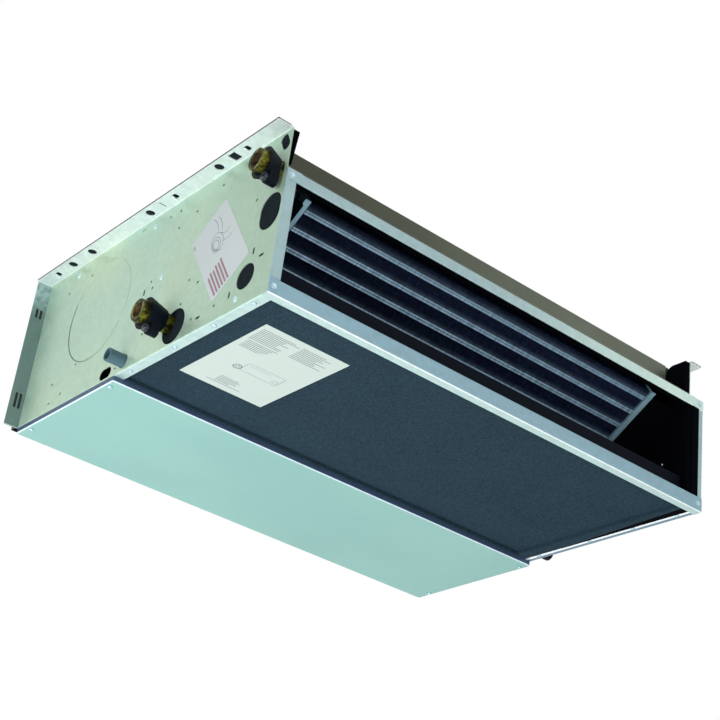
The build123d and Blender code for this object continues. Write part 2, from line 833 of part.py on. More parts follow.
def fitting(y, z, reach, sleeve_face):
    """Brass connection: round mouth with a pipe thread, hexagon up to the sleeve, pipe into the casing."""
    mouth = left_face - reach
    root = left_face + 2.7
    body = rod_x(fitting_pipe, mouth + mouth_length, root, y, z)
    body += rod_x(fitting_outer, mouth, mouth + mouth_length, y, z)
    hexagon = RegularPolygon(hex_across / 2, 6, major_radius=False)
    body += along_x(Pos(y, z) * Rot(0, 0, hex_turn) * hexagon, mouth + mouth_length, sleeve_face - seam)
    body -= rod_x(thread_inner, mouth - 1, mouth + thread_length, y, z)
    return body - rod_x(port_pipe_radius, mouth, root - 5, y, z)


def valve_place(y, z):
    """Place of the small valve beside a connection."""
    return (y + valve_offset[0], z + valve_offset[1])


def fitting_sleeve(y, z, sleeve_face, length):
    """Black rubber sleeve, tapered towards the casing, with the ear that carries the small valve."""
    ear = valve_place(y, z)
    ear_face = sleeve_face + valve_ear_back
    plane = Plane(origin=(sleeve_face, y, z), z_dir=(1, 0, 0))
    sleeve = plane.location * Cone(sleeve_outer, sleeve_end, length,
                                   align=(Align.CENTER, Align.CENTER, Align.MIN))
    rounds = Pos(y, z) * Circle(sleeve_end) + Pos(*ear) * Circle(valve_ear)
    sleeve += along_x(make_hull(rounds.edges()), ear_face, ear_face + valve_ear_length)
    sleeve -= rod_x(fitting_pipe + sleeve_clearance, sleeve_face - 1, sleeve_face + length + 1, y, z)
    sleeve -= rod_x(knob_outer + knob_room, sleeve_face - 1, ear_face, *ear)
    bore = knob_stem + stem_clearance
    return sleeve - rod_x(bore, ear_face - 1, ear_face + knob_stem_depth + 0.5, *ear)


def valve_knob(y, z, sleeve_face):
    """Knurled knob of the small valve, with its stem in the sleeve's ear."""
    ear = valve_place(y, z)
    ear_face = sleeve_face + valve_ear_back
    x1 = ear_face - knob_gap
    x0 = x1 - knob_length
    knob = Circle(knob_outer)
    for k in range(knob_flutes):
        knob -= Rot(0, 0, 360.0 * k / knob_flutes) * Pos(knob_outer + 0.3, 0) * Circle(1.0)
    body = along_x(Pos(*ear) * knob, x0, x1)
    stem = rod_x(knob_stem, x1 - 1, ear_face + knob_stem_depth, *ear)
    slot = box(x0 - 1, x0 + 1.6, ear[0] - knob_outer, ear[0] + knob_outer, ear[1] - 0.8, ear[1] + 0.8)
    return body + stem - slot


def coil_seal(side):
    """Foam strip that fills the gap between the coil's end and the side lining."""
    top = coil_start + 4
    bottom = coil_start + coil_height - seal_end_clear
    face = Pos((top + bottom) / 2, -seal_thick / 2 - seal_gap) * Rectangle(bottom - top, seal_thick)
    seal = coil_extrude(face, coil_half + plate_lip + glue, inner_right - glue)
    if side < 0:
        seal = seal.mirror(Plane.YZ)
    return seal


def fan_deck():
    """Upright plate between the coil and the fan section, with one outlet for each fan."""
    x = casing_width / 2 - sheet - seam - sheet - seam
    high = casing_height - sheet - seam
    low = sheet + seam
    front = deck_place + sheet / 2
    section = folded([(deck_place + deck_flange, low + sheet / 2), (front, low + sheet / 2),
                      (front, high - sheet / 2), (deck_place + deck_flange, high - sheet / 2)])
    deck = along_x(section, -x, x)
    z0, z1 = outlet_levels()
    for side in (-1, 1):
        deck -= box(side * fan_centre - fan_width / 2 + 4, side * fan_centre + fan_width / 2 - 4,
                    deck_place - 1, deck_place + 3, z0 + 3, z1 - 3)
    return deck


def outlet_levels():
    """Bottom and top of the fan outlets."""
    return fan_axis_z + tongue_height, fan_axis_z + scroll_end


def scroll_outline(inset):
    """Closed outline of the scroll in (Y, Z), drawn inwards by the inset."""
    points = []
    turn = 270.0
    steps = 9
    for k in range(steps + 1):
        angle = turn * k / steps
        radius = scroll_start + (scroll_end - scroll_start) * k / steps - inset
        a = math.radians(angle)
        points.append((fan_axis_y - radius * math.cos(a), fan_axis_z - radius * math.sin(a)))
    outlet = deck_place + sheet + seam
    z0, z1 = outlet_levels()
    start = points[0]
    curve = Spline(*points, tangents=[(0, -1), (-1, 0)])
    rest = Polyline(points[-1], (outlet, z1 - inset), (outlet, z0 + inset),
                    (start[0] - 10, z0 + inset), start)
    return make_face([*curve.edges(), *rest.edges()])


def fan_housing(side):
    """Scroll housing of one double inlet fan."""
    x0 = side * fan_centre - fan_width / 2
    x1 = side * fan_centre + fan_width / 2
    shell = along_x(scroll_outline(0), x0, x1)
    shell -= along_x(scroll_outline(scroll_sheet), x0 + scroll_sheet, x1 - scroll_sheet)
    z0, z1 = outlet_levels()
    shell -= box(x0 + scroll_sheet, x1 - scroll_sheet, deck_place, deck_place + 4,
                 z0 + scroll_sheet, z1 - scroll_sheet)
    for x, inward in ((x0, 1), (x1, -1)):
        a, b = sorted((x, x + inward * inlet_ring))
        shell += pipe_x(inlet_radius + 1.5, inlet_radius, a, b, fan_axis_y, fan_axis_z)
        shell -= rod_x(inlet_radius, a - 1, b + 1, fan_axis_y, fan_axis_z)
    return shell


def fan_wheel(side):
    """Forward curved wheel: blades between two end rings, carried by a middle disc and hub."""
    x0 = side * fan_centre - wheel_width / 2
    x1 = x0 + wheel_width
    middle = side * fan_centre
    y, z = fan_axis_y, fan_axis_z
    centre = Pos(y, z)
    wheel = pipe_x(wheel_outer, wheel_outer - 5, x0, x0 + wheel_ring, y, z)
    wheel += pipe_x(wheel_outer, wheel_outer - 5, x1 - wheel_ring, x1, y, z)
    wheel += rod_x(wheel_outer - 1, middle - wheel_disc / 2, middle + wheel_disc / 2, y, z)
    wheel += rod_x(hub_outer, middle - hub_length / 2, middle + hub_length / 2, y, z)
    blades = Sketch()
    for k in range(blade_count):
        angle = 360.0 * k / blade_count
        blades += centre * Rot(0, 0, angle) * blade_section()
    wheel += along_x(blades, x0 + 0.5, x1 - 0.5)
    return wheel - rod_x(shaft_radius + 0.02, middle - hub_length, middle + hub_length, y, z)


def blade_section():
    """Section of one blade in (Y, Z) about the wheel's axis."""
    outer = wheel_outer - blade_thick - 0.2
    middle = (wheel_inner + outer) / 2
    line = Polyline((wheel_inner, 0), (middle, blade_rake * 0.38), (outer, blade_rake))
    return trace(line, line_width=blade_thick)


def fan_shaft():
    """Shaft through the motor and both wheels."""
    end = fan_centre + wheel_width / 2 - shaft_end_gap
    shaft = rod_x(shaft_radius, -end, end, fan_axis_y, fan_axis_z)
    return chamfer(shaft.edges(), 0.8)


def motor_body():
    """Motor with two stepped end shields, open at the ends for the bearings."""
    y, z = fan_axis_y, fan_axis_z
    half = motor_length / 2
    end = half + motor_end_length
    body = rod_x(motor_radius, -half, half, y, z)
    body = fillet(body.edges(), 5)
    body += rod_x(motor_end_radius, -end, end, y, z)
    for k in range(6):
        angle = math.radians(60 * k + 30)
        place = (y + motor_radius * 0.8 * math.cos(angle), z + motor_radius * 0.8 * math.sin(angle))
        body -= rod_x(3.2, -half - 1, -half + 12, *place)
        body -= rod_x(3.2, half - 12, half + 1, *place)
    body -= rod_x(shaft_radius + 1, -end - 1, end + 1, y, z)
    for side in (-1, 1):
        a, b = sorted((side * (end + 1), side * (end - bearing_length)))
        body -= rod_x(bearing_outer, a, b, y, z)
    return body


def shaft_bearing(side):
    """Bearing ring seated in one end shield."""
    end = motor_length / 2 + motor_end_length
    a, b = sorted((side * end, side * (end - bearing_length)))
    inner = shaft_radius + bearing_clearance
    return pipe_x(bearing_outer - 0.02, inner, a, b, fan_axis_y, fan_axis_z)


def motor_cradle():
    """Bracket from the deck to the motor's end shields: back plate, two arms with round seats."""
    y0 = deck_place + sheet + seam
    seat = motor_end_radius + mount_thick
    outer = motor_length / 2 + motor_end_length - 1
    inner = outer - cradle_sheet
    half = cradle_width
    low = fan_axis_z - seat - 10
    high = fan_axis_z
    cradle = box(-outer, outer, y0, y0 + cradle_sheet, low - 12, high)
    arm = make_face(Polyline((y0, low - 12), (fan_axis_y + half, low), (fan_axis_y + seat + 6, high),
                             (y0, high), close=True))
    arm -= Pos(fan_axis_y, fan_axis_z) * Circle(seat)
    for side in (-1, 1):
        a, b = sorted((side * inner, side * outer))
        cradle += along_x(arm, a, b)
    return cradle


def motor_mounts():
    """Rubber rings between the end shields and the cradle."""
    rings = []
    outer = motor_length / 2 + motor_end_length - 1
    inner = motor_length / 2 + 2
    for side in (-1, 1):
        a, b = sorted((side * inner, side * (outer - 0.2)))
        rings.append(pipe_x(motor_end_radius + mount_thick - 0.1, motor_end_radius + 0.05, a, b,
                            fan_axis_y, fan_axis_z))
    return rings


def motor_straps():
    """Half-round straps that hold the motor down in its cradle."""
    straps = []
    seat = motor_end_radius + mount_thick
    outer = motor_length / 2 + motor_end_length - 1
    inside = outer - cradle_sheet - seam
    for side in (-1, 1):
        a, b = sorted((side * (inside - strap_width), side * inside))
        half = Circle(seat + strap_sheet) - Circle(seat + 0.05)
        half &= Pos(0, seat) * Rectangle(3 * seat, 2 * seat)
        for end in (-1, 1):
            foot = Rectangle(strap_foot, strap_sheet)
            half += Pos(end * (seat + strap_foot / 2 + 0.5), strap_sheet / 2) * foot
        straps.append(along_x(Pos(fan_axis_y, fan_axis_z + seam) * half, a, b))
    return straps


def electric_box():
    """Folded box on the outside of the right side panel, open outwards."""
    x0 = right_face + box_gap
    x1 = x0 + box_depth
    y1 = box_front + box_length
    z1 = box_bottom + box_height
    shell = box(x0, x1, box_front, y1, box_bottom, z1)
    shell = rounded(shell, 1.5, (None, box_front, box_bottom), (None, box_front, z1),
                    (None, y1, box_bottom), (None, y1, z1))
    shell -= box(x0 + box_sheet, x1 + 1, box_front + box_sheet, y1 - box_sheet,
                 box_bottom + box_sheet, z1 - box_sheet)
    shell += box(x0 + 14, x1 - box_sheet, box_front, box_front + box_lip, z1 - 12, z1)
    shell += box(x0 + 14, x1 - box_sheet, y1 - box_lip, y1, box_bottom, box_bottom + 12)
    shell -= rod_x(cable_hole_radius - 1, x0 - 1, x0 + 3, *cable_hole)
    for y in gland_places():
        shell -= along_z(Pos(gland_x(), y) * Circle(gland_inner + 1.6), box_bottom - 1, box_bottom + 3)
    for y, z in electric_screw_places():
        shell -= rod_x(screw_shank + screw_play, x1 - 8, x1 + 1, y, z)
    return shell


def gland_x():
    """Place along X of the cable glands."""
    return right_face + gland_inset


def gland_places():
    """Places along Y of the two cable glands in the floor of the electric box."""
    return (box_front + gland_first, box_front + gland_first + gland_spacing)


def electric_cover():
    """Flat cover of the electric box with turned edges."""
    x0 = right_face + box_gap + box_depth + seam
    x1 = x0 + lid_sheet
    inside = lid_clearance
    outside = lid_clearance + lid_sheet
    y0, y1 = box_front, box_front + box_length
    z0, z1 = box_bottom, box_bottom + box_height
    lid = box(x0 - lid_turn, x1, y0 - outside, y1 + outside, z0 - outside, z1 + outside)
    lid = rounded(lid, lid_sheet, (x1, y0 - outside, None), (x1, y1 + outside, None),
                  (x1, None, z0 - outside), (x1, None, z1 + outside))
    lid -= box(x0 - lid_turn - 1, x0, y0 - inside, y1 + inside, z0 - inside, z1 + inside)
    for y, z in electric_screw_places():
        lid -= rod_x(screw_shank + lid_clearance, x0 - 1, x1 + 1, y, z)
    return lid


def electric_screw_places():
    """The two screws of the electric cover."""
    y1 = box_front + box_length
    z1 = box_bottom + box_height
    dy, dz = electric_screw_inset
    return [(box_front + dy, z1 - dz), (y1 - dy, box_bottom + dz)]


def terminal_block():
    """Row of screw terminals on a base."""
    x0 = right_face + box_gap + box_sheet + box_gap
    y0 = box_front + terminal_place[0]
    z0 = box_bottom + terminal_place[1]
    body = box(x0, x0 + 6, y0, y0 + terminal_length, z0, z0 + terminal_height)
    pitch = terminal_length / terminal_ways
    for k in range(terminal_ways):
        y = y0 + (k + 0.5) * pitch
        way = box(x0 + 5, x0 + terminal_depth, y - pitch / 2 + 0.6, y + pitch / 2 - 0.6,
                  z0 + 1, z0 + terminal_height - 1)
        way -= rod_x(2.2, x0 + terminal_depth - 4, x0 + terminal_depth + 1, y, z0 + terminal_height / 2)
        body += way
    return body


def capacitor():
    """Round run capacitor lying in the upper part of the electric box."""
    x = right_face + box_gap + box_sheet + capacitor_radius + 1
    z = box_bottom + box_height - box_sheet - capacitor_radius - 12
    y0 = box_front + capacitor_place
    body = along_y(Pos(x, z) * Circle(capacitor_radius), y0, y0 + capacitor_length)
    body = fillet(body.edges(), 2)
    foot = box(x - capacitor_radius - 0.9, x, y0 + 10, y0 + 24, z - 6, z + 6)
    return body + foot


def cable_glands():
    """Plastic glands in the floor of the electric box."""
    glands = []
    x = gland_x()
    for y in gland_places():
        nut = Pos(x, y) * RegularPolygon(gland_outer, 6, major_radius=False)
        gland = along_z(nut, box_bottom - 5, box_bottom - 0.1)
        gland += along_z(Pos(x, y) * Circle(gland_inner + 1.4), box_bottom - 1, box_bottom + 7)
        dome = along_z(Pos(x, y) * Circle(gland_outer - 0.8), box_bottom - gland_length, box_bottom - 4.5)
        dome = fillet(dome.edges().sort_by(Axis.Z)[0], 4)
        gland += dome
        gland -= along_z(Pos(x, y) * Circle(gland_inner - 1.5), box_bottom - 30, box_bottom + 20)
        glands.append(gland)
    return glands


def filter_guide(side):
    """Folded channel on the rear flange that holds one edge of the filter."""
    y0 = casing_depth + sheet / 2 + 0.1
    y1 = casing_depth + 2 * filter_run + filter_thick + sheet / 2
    edge = casing_width / 2 + filter_half_over + filter_side_gap + sheet / 2
    section = folded([(edge + guide_base, y0), (edge, y0), (edge, y1), (edge - guide_leg, y1)], 1.2)
    channel = along_z(section, 0, casing_height - 2)
    lip = box(edge + sheet / 2, edge + guide_base, y0 - sheet / 2, y0 + sheet / 2, 0, casing_height - 2)
    channel = channel + lip
    if side < 0:
        channel = channel.mirror(Plane.YZ)
    return channel


def filter_frame():
    """Rim of the air filter with a pull tab at the bottom."""
    x = casing_width / 2 + filter_half_over
    y0 = casing_depth + filter_run
    y1 = y0 + filter_thick
    z0, z1 = filter_levels()
    rim = box(-x, x, y0, y1, z0, z1)
    rim -= box(-x + filter_rim, x - filter_rim, y0 - 1, y1 + 1, z0 + filter_rim, z1 - filter_rim)
    for x_bar in (-casing_width / 6, casing_width / 6):
        rim += box(x_bar - 2, x_bar + 2, y1 - 3, y1, z0 + 1, z1 - 1)
    for x_tab in (-casing_width / 4, casing_width / 4):
        tab = box(x_tab - 14, x_tab + 14, y1 - 0.5, y1 + 3.2, z0 + 2, z0 + 6)
        rim += tab
    return rim


def filter_levels():
    """Bottom and top of the filter."""
    return 4.5, casing_height - 3


def filter_media():
    """Pleated filter mat inside the rim."""
    x = casing_width / 2 + filter_half_over - filter_rim - 0.1
    y0 = casing_depth + filter_run
    middle = y0 + 3.2
    z0, z1 = filter_levels()
    pitch = 2 * x / media_ribs
    tip = 2.2
    front = []
    back = []
    for k in range(2 * media_ribs + 1):
        y = middle + (tip if k % 2 else -tip)
        front.append((-x + k * pitch / 2, y - media_core / 2))
        back.append((-x + k * pitch / 2, y + media_core / 2))
    outline = make_face(Polyline(*front, *reversed(back), close=True))
    return along_z(outline, z0 + filter_rim + 0.1, z1 - filter_rim - 0.1)


def frame_screw_places():
    """The four screws at the corners of the discharge frame."""
    left_x = left_face + left_flange / 2
    right_x = right_face + right_flange - 7
    upper = (rail_upper_bottom + rail_upper_top) / 2
    lower = rail_lower_height / 2
    places = [(x, 0, z) for x in (left_x, right_x) for z in (lower, upper)]
    return places


def save_casing():
    """Build the side panels and rails, drill them for their screws and write them."""
    panels = {"left_side_panel": left_side_panel(), "right_side_panel": right_side_panel(),
              "upper_rail": upper_rail(), "lower_rail": lower_rail()}
    drills = [flush_screw(place, (0, 1, 0), screw_play) for place in frame_screw_places()]
    for place in bottom_screw_places() + cover_screw_places():
        drills.append(along_z(Pos(*place) * Circle(screw_shank + screw_play), -1, 3))
    for name, piece in panels.items():
        for drill in drills:
            piece -= drill
        save(name, piece)
    save("top_panel", top_panel())
    save("front_riser", front_riser())
    save("frame_screws", *[flush_screw(place, (0, 1, 0)) for place in frame_screw_places()])
    save("ceiling_tape_left", ceiling_tape(-1))
    save("ceiling_tape_right", ceiling_tape(1))


def save_lower_parts():
    """Write the linings, the service cover and the drain pan with their screws."""
    save("left_lining", cut_for_services(side_lining(lining_left, inner_left, cheek_left)))
    right = side_lining(inner_right, lining_right, cheek_right)
    save("right_lining", cut_for_drain(right, inner_right - 1, right_face))
    save("top_lining", top_lining())
    save("service_cover", service_cover())
    save("cover_lining", cover_lining())
    save("cover_screws", *[screw((x, y, -cover_drop), (0, 0, 1), cover_screw_head, bite=cover_drop + 3)
                           for x, y in cover_screw_places()])
    save("bottom_screws", *[screw((x, y, 0), (0, 0, 1), bottom_screw_head, bottom_screw_high)
                            for x, y in bottom_screw_places()])
    save("drain_pan", drain_pan())
    save("pan_insulation", pan_insulation())
    save("drain_spigot", drain_spigot(-1, drain_reach_left, drain_outer))
    save("drain_spigot_right", drain_spigot(1, drain_reach_right, drain_outer_right))
    save("drain_cap", drain_cap())


def save_coil():
    """Write the coil, its headers and the two water connections with their small valves."""
    save("coil_fins", coil_fins())
    save("coil_end_plate_left", end_plate(-1))
    save("coil_end_plate_right", end_plate(1))
    save("return_bends", *return_bends())
    middle = (first_tube + last_tube) / 2
    stubs_high = [first_tube + k * tube_pitch for k in range(header_stubs)]
    stubs_low = [last_tube - k * tube_pitch for k in range(header_stubs)]
    save("return_header", header(header_start, middle - header_split / 2, header_start, upper_fit,
                                 stubs_high))
    save("supply_header", header(middle + header_split / 2, header_end, header_end, lower_fit, stubs_low))
    return_face = left_face - return_sleeve_start - return_sleeve_length
    supply_face = left_face - supply_sleeve_start - supply_sleeve_length
    save("return_fitting", fitting(*upper_fit, return_reach, return_face))
    save("supply_fitting", fitting(*lower_fit, supply_reach, supply_face))
    save("return_sleeve", fitting_sleeve(*upper_fit, return_face, return_sleeve_length))
    save("supply_sleeve", fitting_sleeve(*lower_fit, supply_face, supply_sleeve_length))
    save("vent_knob", valve_knob(*upper_fit, return_face))
    save("drain_knob", valve_knob(*lower_fit, supply_face))
    save("coil_seal_left", coil_seal(-1))
    save("coil_seal_right", coil_seal(1))


def save_fans():
    """Write the fan deck, both fans, the shaft and the motor."""
    save("fan_deck", fan_deck())
    save("fan_housing_left", fan_housing(-1))
    save("fan_housing_right", fan_housing(1))
    save("fan_wheel_left", fan_wheel(-1))
    save("fan_wheel_right", fan_wheel(1))
    save("fan_shaft", fan_shaft())
    save("motor_body", motor_body())
    save("shaft_bearing_left", shaft_bearing(-1))
    save("shaft_bearing_right", shaft_bearing(1))
    save("motor_cradle", motor_cradle())
    save("motor_mounts", *motor_mounts())
    save("motor_straps", *motor_straps())


def save_outside_parts():
    """Write the electric box with its contents, and the filter with its guides."""
    cover_outside = right_face + box_gap + box_depth + seam + lid_sheet
    save("electric_box", electric_box())
    save("electric_cover", electric_cover())
    save("electric_screws", *[screw((cover_outside, *place), (-1, 0, 0))
                              for place in electric_screw_places()])
    save("terminal_block", terminal_block())
    save("capacitor", capacitor())
    save("cable_glands", *cable_glands())
    save("filter_guide_left", filter_guide(-1))
    save("filter_guide_right", filter_guide(1))
    save("filter_frame", filter_frame())
    save("filter_media", filter_media())


os.makedirs("parts", exist_ok=True)
save_casing()
save_lower_parts()
save_coil()
save_fans()
save_outside_parts()
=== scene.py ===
# %% [markdown]
# # Ceiling fan coil unit
# The unit hangs under a ceiling and is seen from below, from its front left corner. The solids of the
# casing come from the CAD model. This lesson gives them their surfaces and adds the fine pieces that the
# eye expects: thin coil fins, crossed screw heads, pipe threads, labels, a pleated filter.

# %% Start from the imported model
import json
import math

import bpy
import numpy as np
from mathutils import Matrix


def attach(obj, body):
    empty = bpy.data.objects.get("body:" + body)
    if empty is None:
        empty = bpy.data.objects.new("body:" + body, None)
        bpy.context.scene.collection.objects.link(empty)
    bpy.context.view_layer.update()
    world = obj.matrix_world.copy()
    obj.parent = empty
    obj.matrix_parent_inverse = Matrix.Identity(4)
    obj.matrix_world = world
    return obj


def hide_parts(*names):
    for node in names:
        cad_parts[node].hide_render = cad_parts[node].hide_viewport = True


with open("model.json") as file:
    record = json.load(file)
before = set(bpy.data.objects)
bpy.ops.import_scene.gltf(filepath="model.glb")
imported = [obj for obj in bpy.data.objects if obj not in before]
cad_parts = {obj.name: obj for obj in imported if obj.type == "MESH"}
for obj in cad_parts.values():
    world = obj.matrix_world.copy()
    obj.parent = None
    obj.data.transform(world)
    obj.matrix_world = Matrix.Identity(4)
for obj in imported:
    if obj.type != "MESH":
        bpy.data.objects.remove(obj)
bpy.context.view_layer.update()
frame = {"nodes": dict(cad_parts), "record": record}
print("CAD nodes:", len(frame["nodes"]))

# %% [markdown]
# ## Sizes shared by several pieces
# All lengths are in metres in the model's own frame: X along the discharge slot, Y from the discharge
# face to the intake, Z up. The origin is the middle of the four ceiling holes, so the unit lies below
# Z = 0. The helper turns the millimetres of the drawing, measured from the front bottom edge, into it.

# %% Shared sizes
MM = 0.001
FRONT = -299.5
BOTTOM = -215.0


def at(x, y, z):
    """A point of the drawing, in millimetres, as a point of the model in metres."""
    return np.array([x, y + FRONT, z + BOTTOM], float) * MM


def depth_of(y):
    """A depth behind the discharge face, in millimetres, as the model's Y."""
    return (y + FRONT) * MM


def height_of(z):
    """A height over the bottom edge, in millimetres, as the model's Z."""
    return (z + BOTTOM) * MM


LEFT_FACE = -341.0
RIGHT_FACE = 341.0
FLANGE_EDGE = 363.0
FRAME_RIGHT = 359.0
REAR_FACE = 544.0
TOP_FACE = 215.0
LOWER_RAIL_TOP = 19.0
UPPER_RAIL_BOTTOM = 145.0
COVER_FRONT = 306.5
COVER_BOTTOM = -7.5
COIL_DROP = 122.54
COIL_LENGTH = 225.0
COIL_TILT = math.asin(COIL_DROP / COIL_LENGTH)
COIL_START = at(0.0, 19.0, 156.0)
DOWN_COIL = np.array([0.0, math.cos(COIL_TILT), -math.sin(COIL_TILT)])
INTO_COIL = np.array([0.0, math.sin(COIL_TILT), math.cos(COIL_TILT)])
TUBE_PITCH = 25.0 * MM
FIRST_TUBE = 22.5 * MM
ROW_PITCH = 22.0 * MM
print("coil starts at", COIL_START)

# %% [markdown]
# ## Arithmetic on the wires of a material
# A procedural surface is a formula. Wrapping a socket in a small class lets the formula be written as
# ordinary arithmetic, and every operation adds one Math node. Reflected operators make 1 - value work too.
# All other nodes come from one function that takes the kind of node, its settings and its inputs.

# %% The value class


def connect(tree, item, place):
    """Wire a value into an input, or store a plain number or colour in it."""
    if isinstance(item, Value):
        tree.links.new(item.socket, place)
    else:
        place.default_value = item


def add_node(tree, kind, settings=None, inputs=None):
    """Add a node, give it its settings and then fill its inputs, which go by name or by number."""
    node = tree.nodes.new(kind)
    for key, item in (settings or {}).items():
        setattr(node, key, item)
    for key, item in (inputs or {}).items():
        connect(tree, item, node.inputs[key])
    return node


class Value:
    """One socket of a material with arithmetic."""

    def __init__(self, tree, socket):
        self.tree = tree
        self.socket = socket

    def math(self, operation, *others):
        """Add a Math node that takes this value first."""
        inputs = dict(enumerate((self, *others)))
        node = add_node(self.tree, "ShaderNodeMath", {"operation": operation}, inputs)
        return Value(self.tree, node.outputs[0])

    def __add__(self, other):
        return self.math("ADD", other)

    def __sub__(self, other):
        return self.math("SUBTRACT", other)

    def __mul__(self, other):
        return self.math("MULTIPLY", other)

    def __truediv__(self, other):
        return self.math("DIVIDE", other)

    def __rsub__(self, other):
        return self.math("MULTIPLY_ADD", -1.0, other)

    def __rtruediv__(self, other):
        return self.math("POWER", -1.0) * other

    __radd__ = __add__
    __rmul__ = __mul__

    def step(self, low, high):
        """0 below low, 1 above high, and a smooth rise between them."""
        inputs = {"Value": self, "From Min": low, "From Max": high}
        node = add_node(self.tree, "ShaderNodeMapRange", {"interpolation_type": "SMOOTHSTEP"}, inputs)
        return Value(self.tree, node.outputs["Result"])


# %% [markdown]
# ## A material built step by step
# Each material starts as one Principled shader. Colours are mixed with a Mix node, relief goes through a
# Bump node, and all patterns hang on the Object coordinates, so they stay with the piece when it moves.

# %% The material class


class Surface:
    """A Principled material with helpers for patterns."""

    def __init__(self, name, color, roughness, metallic=0.0, specular=0.5):
        self.data = bpy.data.materials.new(name)
        self.data.use_nodes = True
        self.tree = self.data.node_tree
        self.shader = self.tree.nodes["Principled BSDF"]
        self.set("Base Color", (*color, 1.0))
        self.set("Roughness", roughness)
        self.set("Metallic", metallic)
        self.set("Specular IOR Level", specular)
        self.data.diffuse_color = (*color, 1.0)
        self.place = self.get("Object", "ShaderNodeTexCoord")

    def set(self, name, item):
        """Store or wire something into an input of the shader."""
        connect(self.tree, item, self.shader.inputs[name])

    def get(self, output, kind, settings=None, inputs=None):
        """Add a node and take one of its outputs as a value."""
        node = add_node(self.tree, kind, settings, inputs)
        return Value(self.tree, node.outputs[output])

    def axis(self, letter):
        """The X, Y or Z of the place on the piece."""
        return self.get(letter, "ShaderNodeSeparateXYZ", None, {"Vector": self.place})

    def stretched(self, scales):
        """The place with each axis scaled by its own factor."""
        wires = {0: self.place, 1: scales}
        return self.get("Vector", "ShaderNodeVectorMath", {"operation": "MULTIPLY"}, wires)

    def noise(self, scales, detail=3.0, roughness=0.55):
        """Smooth noise between about 0 and 1, with its own number of waves per metre on each axis."""
        wires = {"Vector": self.stretched(scales), "Scale": 1.0, "Detail": detail, "Roughness": roughness}
        return self.get("Fac", "ShaderNodeTexNoise", None, wires)

    def cells(self, scales):
        """One random number for each cell of a Voronoi pattern."""
        wires = {"Vector": self.stretched(scales), "Scale": 1.0}
        color = self.get("Color", "ShaderNodeTexVoronoi", None, wires)
        return self.get("X", "ShaderNodeSeparateXYZ", None, {"Vector": color})

    def mix(self, factor, first, second):
        """Blend two colours by a factor; a Mix node has its colours at inputs 6 and 7 and output 2."""
        colors = [item if isinstance(item, Value) else (*item, 1.0) for item in (first, second)]
        wires = {0: factor, 6: colors[0], 7: colors[1]}
        return self.get(2, "ShaderNodeMix", {"data_type": "RGBA"}, wires)

    def relief(self, height, distance, strength=1.0):
        """Fine relief that is too small for geometry, with its depth in metres."""
        wires = {"Height": height, "Distance": distance, "Strength": strength}
        self.set("Normal", self.get("Normal", "ShaderNodeBump", None, wires))


# %% [markdown]
# ## Galvanised sheet
# The zinc on hot-dipped steel freezes in flat crystals, the spangle. Each crystal reflects a little
# differently, so every Voronoi cell gets its own brightness and roughness. Long faint streaks follow the
# rolling direction.

# %% The zinc surface


def zinc(name, color, roughness, metallic, spangle, warm, zones=()):
    """Zinc with crystals: spangle says how much they differ, warm is the tone of the slow patches.

    A zone is a function that gives a share between 0 and 1 from the place, and the tone of the zinc there.
    The colour is that tone times a light that adds up crystal, streak and grain.
    """
    made = Surface(name, color, roughness, metallic)
    crystal = made.cells((150.0, 150.0, 150.0))
    streak = made.noise((60.0, 4.0, 60.0), detail=4.0)
    patch = made.noise((5.0, 5.0, 5.0), detail=2.0).step(0.35, 0.7)
    grain = made.noise((1100.0, 1100.0, 1100.0), detail=2.0)
    tone = made.mix(patch, color, warm)
    for share, zone_color in zones:
        tone = made.mix(share(made), tone, zone_color)
    light = crystal * spangle + streak * (spangle * 0.8) + grain * 0.16 + (0.92 - spangle * 0.9)
    scaled = made.get("Vector", "ShaderNodeVectorMath", {"operation": "SCALE"}, {0: tone, "Scale": light})
    made.set("Base Color", scaled)
    made.set("Roughness", crystal * 0.10 + streak * 0.10 + (roughness - 0.10))
    made.relief(made.noise((900.0, 900.0, 900.0), detail=2.0), 0.00003, 0.5)
    return made


# %% [markdown]
# ## Places where the zinc looks different
# One sheet doesn't look the same tone all over, and light and shade are painted into its colour: highlights
# on the bends, dark reflections on the outer edges, shade round the intake, and the floor's light on what
# looks down. Painting masks by hand would tie the part to one picture, so every zone is a share between 0
# and 1, worked out from the place alone. It rises from 0 at the first of two places along an axis to 1 at
# the second.

# %% Zones of the ceiling flanges and the rear
SKIN = 0.5
DIMPLE_START = 0.25


def top_flange(made):
    """The ceiling flanges outside the side panels, painted pale as the floor's reflection on their
    undersides.
    """
    outside = made.axis("X").math("ABSOLUTE").step(RIGHT_FACE * MM, (RIGHT_FACE + SKIN) * MM)
    return made.axis("Z").step(height_of(TOP_FACE - 2.6), height_of(TOP_FACE - 1.2)) * outside


def flange_edge_reflection(made):
    """Painted dark reflection on the outer edges of the ceiling flanges."""
    return made.axis("X").math("ABSOLUTE").step((FLANGE_EDGE - 0.5) * MM, (FLANGE_EDGE - 0.2) * MM)


def rear_strip(made):
    """Painted shade on the flange round the intake."""
    return made.axis("Y").step(depth_of(REAR_FACE - 1.8), depth_of(REAR_FACE - 1.2)) * 0.8


def rear_top(made):
    """The upper third of the rear flange, where the painted shade is lighter in uneven patches."""
    uneven = made.noise((120.0, 120.0, 120.0), detail=4.0).step(0.35, 0.6)
    high = made.axis("Z").step(height_of(TOP_FACE - 60.0), height_of(TOP_FACE - 15.0))
    return rear_strip(made) * high * (uneven * 0.6 + 0.3)


# %% Zones of the discharge frame


def front_strips(made):
    """Painted shade on the faces round the discharge opening: darker and a little bluer."""
    return 1.0 - made.axis("Y").step(depth_of(0.9), depth_of(2.4))


